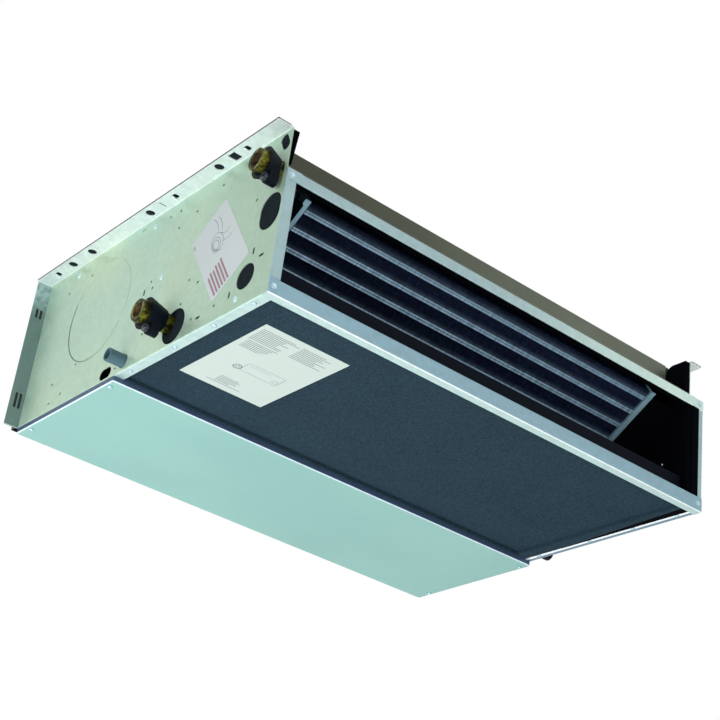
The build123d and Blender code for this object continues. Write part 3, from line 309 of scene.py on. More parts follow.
def upper_strips(made):
    """Painted light on the upper rail and the stiles, a little lighter than the lower rail."""
    over_rail = made.axis("Z").step(height_of(LOWER_RAIL_TOP), height_of(LOWER_RAIL_TOP + 2.0))
    return front_strips(made) * over_rail


def upper_rail_end(made):
    """The right end of the upper rail, which faces the brightest lamp."""
    high = made.axis("Z").step(height_of(UPPER_RAIL_BOTTOM - 2.0), height_of(UPPER_RAIL_BOTTOM))
    return upper_strips(made) * high * made.axis("X").step(-100.0 * MM, 360.0 * MM)


def lower_bend(made):
    """A painted highlight on the bend of the lower rail."""
    near_front = 1.0 - made.axis("Y").step(depth_of(0.7), depth_of(1.5))
    return near_front * (1.0 - made.axis("Z").step(height_of(-0.6), height_of(0.4)))


def inside_slot(made):
    """The sheets beside the coil, with a painted blue reflection of the fins."""
    across = 1.0 - made.axis("X").math("ABSOLUTE").step(298.0 * MM, 302.0 * MM)
    low = 1.0 - made.axis("Z").step(height_of(TOP_FACE - 30.0), height_of(TOP_FACE - 25.0))
    depth = made.axis("Y")
    behind = 1.0 - depth.step(depth_of(279.5), depth_of(299.5))
    return across * low * depth.step(depth_of(13.0), depth_of(14.0)) * behind


# %% Zones of the underside


def bottom_faces(made):
    """The flanges on the underside, washed by the light from the floor."""
    return 1.0 - made.axis("Z").step(height_of(0.3), height_of(0.5))


def right_rim(made):
    """The right bottom flange and its rim behind the lower rail."""
    low = 1.0 - made.axis("Z").step(height_of(1.3), height_of(1.5))
    return low * made.axis("Y").step(depth_of(12.0), depth_of(12.6))


def rim_shade(made):
    """The outer part of the right bottom flange, which lies in the shade."""
    return right_rim(made) * made.axis("X").step(352.5 * MM, 353.5 * MM)


def rim_highlight(made):
    """A painted highlight along the right bottom flange, 8 mm wide."""
    x = made.axis("X")
    return right_rim(made) * x.step(344.5 * MM, 345.5 * MM) * (1.0 - x.step(352.5 * MM, 353.5 * MM))


def cover_shares(made):
    """How near a place is to the cover's front or left wall, and how high it is in the cover's rim."""
    near_front = 1.0 - made.axis("Y").step(depth_of(COVER_FRONT + 0.5), depth_of(COVER_FRONT + 1.7))
    near_left = 1.0 - made.axis("X").step((LEFT_FACE + 0.5) * MM, (LEFT_FACE + 1.7) * MM)
    height = made.axis("Z")
    below = 1.0 - height.step(height_of(COVER_BOTTOM + 8.0), height_of(COVER_BOTTOM + 8.5))
    high = height.step(height_of(COVER_BOTTOM + 0.8), height_of(COVER_BOTTOM + 1.8))
    return near_front.math("MAXIMUM", near_left) * below, high


def cover_bends(made):
    """A painted highlight on the front and left bends of the service cover."""
    near, high = cover_shares(made)
    return near * (1.0 - high)


def cover_walls(made):
    """The low front and left walls of the cover, which lie in the shade of the joint."""
    near, high = cover_shares(made)
    return near * high


# %% Zones of the left panel and the riser
KNOCK_OUT = (384.0, 120.0)
KNOCK_OUT_RADIUS = 71.5


def toward_front(made):
    """Painted shade: the side panel is darker and cooler toward the discharge face."""
    return 1.0 - made.axis("Y").step(depth_of(-0.5), depth_of(279.5))


def left_web(made):
    """The left panel's web without its ceiling flange, rear flange and bottom flange."""
    x, y, z = made.axis("X"), made.axis("Y"), made.axis("Z")
    below_top = 1.0 - z.step(height_of(TOP_FACE - 4.0), height_of(TOP_FACE - 3.0))
    clear = below_top * (1.0 - y.step(depth_of(REAR_FACE - 4.0), depth_of(REAR_FACE - 3.0)))
    outside = 1.0 - x.step((LEFT_FACE + 1.0) * MM, (LEFT_FACE + 1.2) * MM)
    return clear * z.step(height_of(3.0), height_of(4.0)) * outside


def dimple_tops(made):
    """The pressed dimples of the left panel, which stand out from the web and are painted paler."""
    stands_out = 1.0 - made.axis("X").step((LEFT_FACE - SKIN) * MM, (LEFT_FACE - DIMPLE_START) * MM)
    return left_web(made) * stands_out


def knock_out_line(made):
    """The groove round the knock-out: a thin ring, dark where it turns away from the light."""
    across = made.axis("Y") - depth_of(KNOCK_OUT[0])
    rise = made.axis("Z") - height_of(KNOCK_OUT[1])
    radius = (across * across + rise * rise).math("SQRT")
    ring = 1.0 - (radius - KNOCK_OUT_RADIUS * MM).math("ABSOLUTE").step(0.5 * MM, 1.2 * MM)
    return left_web(made) * ring * (across * 0.8 - rise).step(-20.0 * MM, 70.0 * MM)


def riser_shade(made):
    """The riser is darkest beside the left panel and clears to the right."""
    return 1.0 - made.axis("X").step(-360.0 * MM, 300.0 * MM)


# %% [markdown]
# ## The zinc surfaces of this unit
# The casing and the service cover were cut from two coils of sheet, each with its own tone; the riser's dark
# tone is painted shade. Later zones lie over earlier ones, so painted highlights and dark edges come last.

# %% Zinc surfaces with their zones
# The tone of the painted highlights on bends and rims.
PAINTED_HIGHLIGHT = (0.92, 0.97, 1.0)
materials = {}
casing_zones = [
    (toward_front, (0.34, 0.48, 0.37)),
    (inside_slot, (0.33, 0.56, 0.68)),
    (front_strips, (0.25, 0.41, 0.48)),
    (upper_strips, (0.34, 0.48, 0.50)),
    (upper_rail_end, (0.62, 0.80, 0.72)),
    (rear_strip, (0.08, 0.13, 0.15)),
    (rear_top, (0.45, 0.60, 0.62)),
    (knock_out_line, (0.15, 0.21, 0.18)),
    (dimple_tops, (0.46, 0.67, 0.69)),
    (top_flange, (0.70, 0.78, 0.78)),
    (flange_edge_reflection, (0.02, 0.02, 0.05)),
    (bottom_faces, (0.44, 0.60, 0.58)),
    (rim_shade, (0.13, 0.23, 0.30)),
    (rim_highlight, PAINTED_HIGHLIGHT),
    (lower_bend, PAINTED_HIGHLIGHT),
]
cover_zones = [(cover_walls, (0.045, 0.08, 0.15)), (cover_bends, (0.72, 0.85, 0.95))]
riser_zones = [(riser_shade, (0.045, 0.05, 0.03))]
for name, color, roughness, metallic, spangle, warm, zones in (
        ("galvanised", (0.40, 0.57, 0.46), 0.42, 0.45, 0.10, (0.49, 0.63, 0.45), casing_zones),
        ("cover_sheet", (0.245, 0.475, 0.43), 0.45, 0.2, 0.03, (0.225, 0.445, 0.41), cover_zones),
        # The riser's dark tone is painted shade.
        ("dark_sheet", (0.15, 0.175, 0.13), 0.5, 0.5, 0.12, (0.12, 0.135, 0.10), riser_zones),
        ("zinc_screw", (0.42, 0.58, 0.66), 0.30, 0.85, 0.04, (0.40, 0.54, 0.60), ())):
    materials[name] = zinc(name, color, roughness, metallic, spangle, warm, zones).data
tab_zinc = zinc("tab_zinc", (0.82, 0.93, 0.96), 0.40, 0.3, 0.04, (0.80, 0.92, 0.94))
print("zinc surfaces:", sorted(materials))

# %% [markdown]
# ## Foam, rubber and plastic
# Foam is matt and open-pored: a fine noise darkens it in spots and roughens its surface. Rubber is
# smoother, and moulded plastic has a slight sheen.

# %% Soft surfaces


def foam(name, color, pore, depth, sheen, cloudy=0.3, hole_tone=None):
    """Foam with the given pores per metre; the last argument is the lighter, mottled tone behind the panel's
    holes.
    """
    made = Surface(name, color, 0.92, 0.0, sheen)
    grain = made.noise((pore, pore, pore), detail=5.0, roughness=0.7)
    cloud = made.noise((14.0, 14.0, 14.0), detail=3.0)
    dark = tuple(0.62 * part for part in color)
    pale = tuple(1.35 * part for part in color)
    tone = made.mix((grain * (1.0 - cloudy) + cloud * cloudy).step(0.3, 0.72), dark, pale)
    if hole_tone:
        outside = 1.0 - made.axis("X").step((LEFT_FACE + 1.6) * MM, (LEFT_FACE + 2.2) * MM)
        tone = made.mix(outside * grain.step(0.3, 0.6), tone, hole_tone)
    made.set("Base Color", tone)
    made.relief(grain, depth)
    return made


def moulded(name, color, roughness, sheen):
    """Moulded rubber or plastic with a faint grain."""
    made = Surface(name, color, roughness, 0.0, sheen)
    grain = made.noise((700.0, 700.0, 700.0), detail=3.0)
    made.set("Roughness", grain * 0.16 + (roughness - 0.08))
    made.relief(grain, 0.00002)
    return made


BEHIND_HOLES = (0.018, 0.026, 0.032)
materials["black_foam"] = foam("black_foam", (0.0014, 0.0017, 0.003), 900.0, 0.0004, 0.02,
                               hole_tone=BEHIND_HOLES).data
materials["slate_foam"] = foam("slate_foam", (0.020, 0.041, 0.058), 420.0, 0.0003, 0.06, 0.12).data
for name, color, roughness, sheen in (("pan_coat", (0.003, 0.005, 0.009), 0.60, 0.04),
                                      ("grey_tube", (0.055, 0.115, 0.145), 0.40, 0.25),
                                      ("black_rubber", (0.003, 0.005, 0.009), 0.42, 0.06),
                                      ("black_plastic", (0.016, 0.018, 0.020), 0.38, 0.4),
                                      ("pale_plastic", (0.62, 0.62, 0.56), 0.42, 0.4)):
    materials[name] = moulded(name, color, roughness, sheen).data
knob_plastic = moulded("knob_plastic", (0.012, 0.022, 0.032), 0.20, 0.6)
print("surfaces so far:", len(materials))

# %% [markdown]
# ## Metals that aren't zinc
# Cast brass has an olive skin where it was handled and oiled. Copper dulls in patches. The motor shell is
# stove-enamelled, and the fan wheels are bright aluminium.

# %% Other metals


def aged(name, color, stained, roughness, metallic, size, spread=(0.38, 0.68)):
    """Metal with stains: slow noise, with size waves per metre, chooses the clean or the stained colour."""
    made = Surface(name, color, roughness, metallic)
    stain = made.noise((size, size, size), detail=5.0, roughness=0.65).step(*spread)
    fine = made.noise((size * 9, size * 9, size * 9), detail=3.0)
    made.set("Base Color", made.mix(stain, color, stained))
    made.set("Roughness", stain * 0.22 + fine * 0.10 + (roughness - 0.05))
    made.relief(fine, 0.00006)
    return made


# Much of the brass is stained near black: partly old tarnish, partly painted shade on the fittings.
materials["brass"] = aged("brass", (0.25, 0.25, 0.025), (0.008, 0.009, 0.002), 0.24, 0.9, 100.0,
                          (0.32, 0.58)).data
for name, color, stained, roughness, metallic, size in (
        # The copper is darker than fresh copper: painted shade for the tubes deep in the coil; its patches
        # are dulling.
        ("copper", (0.20, 0.095, 0.055), (0.07, 0.033, 0.02), 0.42, 0.95, 60.0),
        ("wheel_aluminium", (0.62, 0.65, 0.67), (0.45, 0.47, 0.48), 0.35, 0.95, 30.0),
        ("shaft_steel", (0.50, 0.51, 0.52), (0.34, 0.34, 0.34), 0.28, 1.0, 50.0),
        ("motor_shell", (0.10, 0.11, 0.12), (0.07, 0.075, 0.08), 0.42, 0.3, 25.0)):
    materials[name] = aged(name, color, stained, roughness, metallic, size).data
bore = aged("old_bore", (0.075, 0.045, 0.012), (0.012, 0.007, 0.003), 0.45, 0.7, 120.0)
print("surfaces so far:", len(materials))

# %% [markdown]
# ## Coil fins with a dark coating
# The fins are coated dark blue against condensate. At each tube they are pressed forward into a ridge, and
# its
# light is painted: a painted highlight on the ridge and painted shade just below it. The place along the
# coil,
# counted in tube pitches, gives the phase: 0 on a tube, and the tone climbs toward the tube from above and
# falls off sharply below it.

# %% Fin surface
fins = Surface("fin_aluminium", (0.03, 0.05, 0.085), 0.42, 0.6)
along = (fins.axis("Y") - float(COIL_START[1])) * float(DOWN_COIL[1]) \
    + (fins.axis("Z") - float(COIL_START[2])) * float(DOWN_COIL[2])
phase = ((along - FIRST_TUBE) / TUBE_PITCH + 0.5).math("FRACT") - 0.5
# A painted highlight climbs toward each tube from above; painted shade lies just below it.
near_tube = phase.step(-0.42, -0.08) * (1.0 - phase.step(0.08, 0.16))
# This noise breaks up the painted highlight and varies the roughness as wear.
glint_and_wear = fins.noise((160.0, 90.0, 90.0), detail=4.0).step(0.25, 0.75)
blotch = fins.noise((420.0, 150.0, 150.0), detail=3.0).step(0.3, 0.7)
coating = fins.mix(blotch, (0.018, 0.028, 0.070), (0.050, 0.080, 0.20))
fins.set("Base Color", fins.mix(near_tube * (glint_and_wear * 0.5 + 0.5), coating, (0.30, 0.46, 0.62)))
fins.set("Roughness", glint_and_wear * 0.15 + 0.34)
materials["fin_aluminium"] = fins.data

mat = Surface("filter_mat", (0.60, 0.63, 0.61), 0.95, 0.0, 0.2)
fibre = mat.noise((1300.0, 500.0, 1300.0), detail=5.0, roughness=0.7)
mat.set("Base Color", mat.mix(fibre.step(0.3, 0.7), (0.48, 0.51, 0.49), (0.72, 0.75, 0.73)))
mat.relief(fibre, 0.0003)
materials["filter_mat"] = mat.data

papers = {"side_label": Surface("side_label_paper", (0.51, 0.56, 0.56), 0.55, 0.0, 0.2),
          "tray_label": Surface("tray_label_paper", (0.50, 0.58, 0.54), 0.55, 0.0, 0.2)}
ink = Surface("label_ink", (0.12, 0.14, 0.16), 0.60, 0.0, 0.1)
red_ink = Surface("label_red_ink", (0.20, 0.035, 0.09), 0.60, 0.0, 0.1)
print("slots with a surface:", sorted(materials))

# %% [markdown]
# ## Give every CAD node its surface
# The record names one slot for each node, so the same table serves every use of the part. The two knobs are
# of the same black plastic as the other mouldings, only polished by many hands.

# %% Assign the surfaces
for part in frame["record"]["subparts"]:
    mesh = frame["nodes"][part["node"]].data
    mesh.materials.clear()
    knob = part["node"] in ("vent_knob", "drain_knob")
    mesh.materials.append(knob_plastic.data if knob else materials[part["material_slot"]])

# %% [markdown]
# ## Tools that make meshes
# A grid of points needs only its four-cornered faces. A shape that is repeated is made once as an array and
# added to an array of places, so no loop runs over the points.

# %% Mesh tools


def grid_faces(rows, columns, closed=False):
    """Faces of a grid of points, row after row; closed joins the last column to the first."""
    u = np.arange(rows - 1)[:, None] * columns
    v = np.arange(columns if closed else columns - 1)[None, :]
    w = (v + 1) % columns
    return np.stack([u + v, u + w, u + columns + w, u + columns + v], axis=-1).reshape(-1, 4)


def repeated(points, faces, places):
    """The same shape at many places: its points (N, 3) plus each place (K, 3)."""
    places = np.asarray(places, float)
    moved = points[None, :, :] + places[:, None, :]
    shift = (np.arange(len(places)) * len(points))[:, None, None]
    return moved.reshape(-1, 3), (faces[None, :, :] + shift).reshape(-1, faces.shape[1])


def joined(*shapes):
    """Several shapes of four-cornered faces as one."""
    counts = np.cumsum([0] + [len(points) for points, faces in shapes])
    points = np.concatenate([shape[0] for shape in shapes])
    faces = np.concatenate([shape[1] + start for shape, start in zip(shapes, counts)])
    return points, faces


def build(name, shape, material, body="casing", smooth=True, caps=()):
    """Make the object of a shape at the origin; caps are extra faces with more corners."""
    points, faces = shape
    mesh = bpy.data.meshes.new(name)
    mesh.from_pydata(np.asarray(points).tolist(), [], faces.tolist() + [list(cap) for cap in caps])
    mesh.polygons.foreach_set("use_smooth", np.full(len(mesh.polygons), smooth))
    mesh.update()
    mesh.materials.append(material)
    piece = bpy.data.objects.new(name, mesh)
    bpy.context.scene.collection.objects.link(piece)
    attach(piece, body)
    print(name, "faces", len(mesh.polygons))
    return piece


def box_shape(low, high):
    """A block as eight points and six faces."""
    x0, y0, z0 = low
    x1, y1, z1 = high
    points = np.array([[x0, y0, z0], [x1, y0, z0], [x1, y1, z0], [x0, y1, z0],
                       [x0, y0, z1], [x1, y0, z1], [x1, y1, z1], [x0, y1, z1]], float)
    faces = np.array([[0, 3, 2, 1], [4, 5, 6, 7], [0, 1, 5, 4], [1, 2, 6, 5], [2, 3, 7, 6], [3, 0, 4, 7]])
    return points, faces


def turned(profile, sides=32):
    """Round solid about Z from (radius, height) pairs that run from the bottom centre to the top centre."""
    angle = np.linspace(0.0, 2 * math.pi, sides, endpoint=False)
    r = profile[:, 0][:, None]
    height = np.repeat(profile[:, 1][:, None], sides, 1)
    points = np.stack([r * np.cos(angle), r * np.sin(angle), height], -1)
    return points.reshape(-1, 3), grid_faces(len(profile), sides, closed=True)


def facing(points, outward):
    """Turn points made about Z so that their Z looks along an axis of the model."""
    outward = np.asarray(outward, float)
    helper = np.array([0.0, 1.0, 0.0]) if abs(outward[0]) > 0.5 else np.array([1.0, 0.0, 0.0])
    side = np.cross(helper, outward)
    side /= np.linalg.norm(side)
    return points @ np.stack([side, np.cross(outward, side), outward])


# %% [markdown]
# ## The coil: thin fins on copper tubes
# A coil is a stack of stamped aluminium plates pushed over copper tubes, which are then widened until they
# grip. Each fin is one flat plate whose front and back edges step outward at every tube. The outline is
# made once from the tube positions and repeated along X; a few hundred thin plates make the dark comb.

# %% Coil fins
FIN_PITCH = 2.2 * MM
FIN_THICK = 0.22 * MM
COIL_HALF = 286.0 * MM
COIL_TOP = 10.0 * MM
COIL_BOTTOM = 235.0 * MM
COIL_DEEP = 44.0 * MM
RIDGE = 1.6 * MM
RIDGE_HALF = 3.5 * MM
TUBE_LINES = 9
tube_lines = FIRST_TUBE + TUBE_PITCH * np.arange(TUBE_LINES)
ridge_steps = np.array([-RIDGE_HALF, -RIDGE_HALF * 0.55, RIDGE_HALF * 0.55, RIDGE_HALF])
front_along = np.concatenate([[COIL_TOP], (tube_lines[:, None] + ridge_steps).ravel(), [COIL_BOTTOM]])
front_deep = np.concatenate([[RIDGE], np.tile([RIDGE, 0.0, 0.0, RIDGE], TUBE_LINES), [RIDGE]])
outline_along = np.concatenate([front_along, front_along[::-1]])
outline_deep = np.concatenate([front_deep, COIL_DEEP - front_deep[::-1]])
fin_outline = COIL_START + outline_along[:, None] * DOWN_COIL + outline_deep[:, None] * INTO_COIL
half_thick = np.array([FIN_THICK / 2, 0.0, 0.0])
corners = len(fin_outline)
fin_points = np.concatenate([fin_outline - half_thick, fin_outline + half_thick])
fin_count = int(2 * COIL_HALF / FIN_PITCH)
fin_x = (np.arange(fin_count) - (fin_count - 1) / 2) * FIN_PITCH
fin_places = np.column_stack([fin_x, np.zeros(fin_count), np.zeros(fin_count)])
fin_shape = repeated(fin_points, grid_faces(2, corners, closed=True), fin_places)
fin_starts = np.arange(fin_count)[:, None] * 2 * corners
left_caps = fin_starts + np.arange(corners)[::-1]
right_caps = fin_starts + corners + np.arange(corners)
coil = build("coil_fin_stack", fin_shape, materials["fin_aluminium"], smooth=False,
             caps=[*left_caps.tolist(), *right_caps.tolist()])
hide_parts("coil_fins")
print("fins:", fin_count)

# %% [markdown]
# ## Tubes through the fins
# The water runs in two rows of copper tubes. Between the fins they show only as a glint, so each is a plain
# round bar. One bar is turned, laid along X and repeated where the tube lines cross the rows.

# %% Coil tubes
TUBE_RADIUS = 4.7 * MM
TUBE_ROWS = 2
along_coil, across_rows = np.meshgrid(tube_lines, (np.arange(TUBE_ROWS) + 0.5) * ROW_PITCH)
tube_centres = COIL_START + along_coil.reshape(-1, 1) * DOWN_COIL + across_rows.reshape(-1, 1) * INTO_COIL
tube_profile = np.array([[0.0, -COIL_HALF], [TUBE_RADIUS, -COIL_HALF], [TUBE_RADIUS, COIL_HALF],
                         [0.0, COIL_HALF]])
tube_points, tube_faces = turned(tube_profile, 20)
tube_shape = repeated(facing(tube_points, (1.0, 0.0, 0.0)), tube_faces, tube_centres)
tube_piece = build("coil_tubes", tube_shape, materials["copper"])

# %% [markdown]
# ## Collars between the fins
# Each fin has a drawn collar round the tube that keeps the next fin at its distance. Seen along the coil,
# the collars close up into pale bars behind the edges of the fins. One cross-section with two crests is
# pulled along X for each tube; the fins' own edges stand in front of it and give the bars their fine teeth.
# The bars fade down the coil, where less light falls in.

# %% Fin collars
collar_along = np.array([-3.0, -2.6, -1.8, -1.0, 0.0, 1.0, 1.8, 2.6, 3.0, 3.0, -3.0]) * MM
collar_deep = np.array([1.6, 0.6, 0.2, 0.7, 1.0, 0.7, 0.2, 0.6, 1.6, 2.4, 2.4]) * MM
collar_line = COIL_START + collar_along[:, None] * DOWN_COIL + collar_deep[:, None] * INTO_COIL
collar_ends = np.concatenate([collar_line - [COIL_HALF, 0, 0], collar_line + [COIL_HALF, 0, 0]])
collar_faces = grid_faces(2, len(collar_line), closed=True)
collar_shape = repeated(collar_ends, collar_faces, tube_lines[:, None] * DOWN_COIL)
collar_metal = Surface("collar_aluminium", (0.22, 0.34, 0.46), 0.38, 0.4)
teeth = collar_metal.noise((900.0, 30.0, 30.0), detail=2.0).step(0.3, 0.7)
down_coil = (collar_metal.axis("Z") - float(COIL_START[2])) * float(1.0 / DOWN_COIL[2])
lit = collar_metal.mix(teeth, (0.13, 0.23, 0.32), (0.44, 0.62, 0.72))
unlit = collar_metal.mix(teeth, (0.03, 0.05, 0.09), (0.10, 0.16, 0.22))
collar_metal.set("Base Color", collar_metal.mix(down_coil.step(60.0 * MM, 180.0 * MM), lit, unlit))
collars = build("fin_collars", collar_shape, collar_metal.data, smooth=False)

# %% [markdown]
# ## Screws with crossed heads
# A screw is turned, so its profile is swept about its axis. The cross is pressed into the head: points
# whose distance to an arm of the cross is small are lowered. A Boolean would cut it too, but leaves long
# thin faces. Each screw is turned by its own angle, as real ones are.

# %% Screws
SCREW_SHANK = 1.95 * MM
HEAD_RINGS = 15
rng = np.random.default_rng(7)


def crossed(points, head, depth, floor):
    """Press a cross into the points of a head that lie above the floor.

    The gap is the distance to the nearer arm, a rounded bar along X or Y. The dent falls from 1 on the arm
    to 0 beside it, and gets shallower toward the rim.
    """
    x, y, z = points.T
    size = head / 4.0
    arm, length = 0.42 * size, 2.35 * size
    gap = np.minimum(np.hypot(np.maximum(np.abs(x) - length, 0), np.maximum(np.abs(y) - arm, 0)),
                     np.hypot(np.maximum(np.abs(y) - length, 0), np.maximum(np.abs(x) - arm, 0)))
    dent = np.clip(1 - gap / (0.45 * size), 0, 1) * (z > floor)
    points[:, 2] = z - dent * depth * np.clip(1.15 - np.hypot(x, y) / (2.9 * size), 0, 1)
    return points


def pan_screw(reach, head, high, sides=40):
    """Points and faces of a screw with a domed head about Z, the head's seat at Z = 0."""
    r = np.linspace(1.0, 0.0, HEAD_RINGS)
    dome = np.stack([head * 0.98 * r, high * (0.35 + 0.65 * np.sqrt(1 - 0.85 * r ** 2.4))], 1)
    low = np.array([[0.0, -reach], [SCREW_SHANK * 0.6, -reach], [SCREW_SHANK, -reach * 0.85],
                    [SCREW_SHANK, 0.0], [head * 0.99, 0.0], [head * 0.995, high * 0.3]])
    points, faces = turned(np.concatenate([low, dome]), sides)
    return crossed(points, head, 0.55 * high, 0.4 * high), faces


def flush_screw(reach, head, deep, sides=40):
    """Points and faces of a countersunk screw about Z, its face level with Z = 0."""
    r = np.linspace(1.0, 0.0, HEAD_RINGS)
    face = np.stack([head * 0.97 * r, np.full(HEAD_RINGS, -0.03 * MM)], 1)
    low = np.array([[0.0, -reach], [SCREW_SHANK * 0.6, -reach], [SCREW_SHANK, -reach * 0.85],
                    [SCREW_SHANK, -deep], [head * 0.985, -0.12 * MM]])
    points, faces = turned(np.concatenate([low, face]), sides)
    return crossed(points, head, 0.9 * MM, -0.1 * MM), faces


def screws(name, node, places, outward, template):
    """Many screws with the same direction, each turned by a random angle."""
    points, faces = template
    angle = rng.uniform(0, math.pi / 2, len(places))
    cos, sin = np.cos(angle)[:, None], np.sin(angle)[:, None]
    x, y, z = points.T
    spun = np.stack([x * cos - y * sin, x * sin + y * cos, np.repeat(z[None], len(places), 0)], -1)
    moved = facing(spun.reshape(-1, 3), outward).reshape(spun.shape) + np.asarray(places)[:, None, :]
    shift = (np.arange(len(places)) * len(points))[:, None, None]
    shape = (moved.reshape(-1, 3), (faces[None] + shift).reshape(-1, 4))
    piece = build(name, shape, materials["zinc_screw"])
    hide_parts(node)


FRAME_COLUMNS = (LEFT_FACE + 7, FRAME_RIGHT - 7)
BOTTOM_COLUMNS = (LEFT_FACE + 7, RIGHT_FACE + 9)
COVER_COLUMNS = (LEFT_FACE + 6, FRAME_RIGHT - 6)
BOX_LID = RIGHT_FACE + 41.5
frame_places = [at(x, 0.0, z) for x in FRAME_COLUMNS for z in (9.5, 152.0)]
bottom_places = [at(x, y, 0.0) for x in BOTTOM_COLUMNS for y in (33, 108, 186, 281)]
cover_places = [at(x, y, COVER_BOTTOM) for x in COVER_COLUMNS for y in (322, 514)]
lid_places = [at(BOX_LID, y, z) for y, z in ((194.5, 164.0), (355.5, 76.0))]
frame_screw = flush_screw(4.8 * MM, 3.8 * MM, 1.6 * MM)
bottom_screw = pan_screw(4.8 * MM, 2.8 * MM, 1.6 * MM)
cover_screw = pan_screw(10.3 * MM, 3.0 * MM, 2.2 * MM)
lid_screw = pan_screw(4.8 * MM, 4.0 * MM, 2.2 * MM)
screws("frame_screw_heads", "frame_screws", frame_places, (0, -1, 0), frame_screw)
screws("bottom_screw_heads", "bottom_screws", bottom_places, (0, 0, -1), bottom_screw)
screws("cover_screw_heads", "cover_screws", cover_places, (0, 0, -1), cover_screw)
screws("lid_screw_heads", "electric_screws", lid_places, (1, 0, 0), lid_screw)

# %% [markdown]
# ## Pipe threads
# A female thread is a bore whose radius rises and falls along a helix. The radius depends on the distance
# along the bore plus the share of a turn, so one formula gives the whole helix. The record says where the
# connections are: a mount's place is the middle of its bore.

# %% Threads
THREAD_PITCH = 1.814 * MM
THREAD_HEIGHT = 0.95 * MM
THREAD_BORE = 9.28 * MM
THREAD_START = 0.4 * MM
THREAD_END = 15.5 * MM
RUN_IN = 2.0 * MM


def thread(name, mouth, rings=110, sides=48):
    """Helical thread from a mouth inwards along X.

    The radius is the bore less the height of the thread times a wave that zigzags between 0 and 1 once in
    each pitch and shifts by one pitch in each turn. The thread runs in over the first two millimetres.
    """
    depth = np.linspace(THREAD_START, THREAD_END, rings)[:, None]
    angle = np.linspace(0, 2 * math.pi, sides, endpoint=False)[None, :]
    zigzag = np.abs(((depth / THREAD_PITCH + angle / (2 * math.pi)) % 1.0) * 2 - 1)
    run = np.clip((depth - THREAD_START) / RUN_IN, 0, 1)
    radius = THREAD_BORE - run * zigzag * THREAD_HEIGHT
    deep = np.broadcast_to(depth, zigzag.shape)
    points = np.stack([deep, radius * np.cos(angle), radius * np.sin(angle)], -1).reshape(-1, 3) + mouth
    piece = build(name, (points, grid_faces(rings, sides, closed=True)[:, ::-1]), bore.data)


mounts = {mount["name"]: mount for mount in frame["record"]["mounts"]}
for name, mount in (("return_thread", mounts["water_return"]), ("supply_thread", mounts["water_supply"])):
    half_length = mount["dims"]["length_mm"] * MM / 2
    thread(name, np.add(mount["pos_m"], np.multiply(mount["axis"], half_length)))

# %% [markdown]
# ## Labels
# A label is a thin sheet with rounded corners, and its marks are ruled lines and a plain outline drawing.
# A picture on the paper would blur up close, so the ink is made of narrow ribbons that lie just above it.

# %% Label tools


def rounded_outline(width, height, radius, steps=6):
    """Corner points of a rounded rectangle about its middle, anticlockwise."""
    turn = np.linspace(0, math.pi / 2, steps)
    centres = np.array([[1, 1], [-1, 1], [-1, -1], [1, -1]]) * [width / 2 - radius, height / 2 - radius]
    angle = turn[None, :] + np.arange(4)[:, None] * math.pi / 2
    return (centres[:, None, :] + radius * np.stack([np.cos(angle), np.sin(angle)], -1)).reshape(-1, 2)


def bars(rectangles):
    """Flat rectangles (x0, y0, x1, y1) as points and faces in the label's own plane."""
    r = np.asarray(rectangles, float)
    points = np.stack([r[:, [0, 1]], r[:, [2, 1]], r[:, [2, 3]], r[:, [0, 3]]], axis=1).reshape(-1, 2)
    return points, np.arange(len(points)).reshape(-1, 4)


def stroke(path, width):
    """A ribbon of the given width along a path in the plane."""
    path = np.asarray(path, float)
    way = np.gradient(path, axis=0)
    way /= np.linalg.norm(way, axis=1)[:, None]
    side = np.stack([-way[:, 1], way[:, 0]], 1) * width / 2
    points = np.stack([path - side, path + side], axis=1).reshape(-1, 2)
    start = np.arange(len(path) - 1) * 2
    return points, np.stack([start, start + 2, start + 3, start + 1], axis=1)


def on_plane(points, origin, right, up, lift):
    """Points of the label's plane as points of the model, lifted off it."""
    normal = np.cross(right, up)
    return np.asarray(origin) + points[:, :1] * right + points[:, 1:2] * up + normal * lift


PAPER_BACK = 0.02 * MM
PAPER_FACE = 0.20 * MM
INK_FACE = 0.23 * MM


def label(name, size, radius, origin, right, up, marks):
    """Paper with marks: each mark is a shape in the plane and its ink."""
    edge = rounded_outline(*size, radius)
    count = len(edge)
    points = np.concatenate([on_plane(edge, origin, right, up, PAPER_BACK),
                             on_plane(edge, origin, right, up, PAPER_FACE)])
    sheet = build(name, (points, grid_faces(2, count, closed=True)), papers[name].data, smooth=False,
                  caps=[list(range(count))[::-1], list(range(count, 2 * count))])
    for title, shapes, ink_used in marks:
        flat_points, faces = joined(*shapes)
        drawn = build(f"{name}_{title}", (on_plane(flat_points, origin, right, up, INK_FACE), faces),
                      ink_used.data, smooth=False)


def ruled(left, right, top, rows, pitch, height, shares):
    """Rows of short bars: each row is filled to its own share of the width."""
    ends = left + (right - left) * shares[:rows]
    tops = top - np.arange(rows) * pitch
    return bars(np.stack([np.full(rows, left), tops - height, ends, tops], axis=1))


# %% [markdown]
# ## Label on the side panel
# It hangs askew on the panel with its short side down. The drawing shows a pipe end with some curved lines
# round it. Under it stand rows of short bars in red ink, and two thin bars lie beside its upper edge.

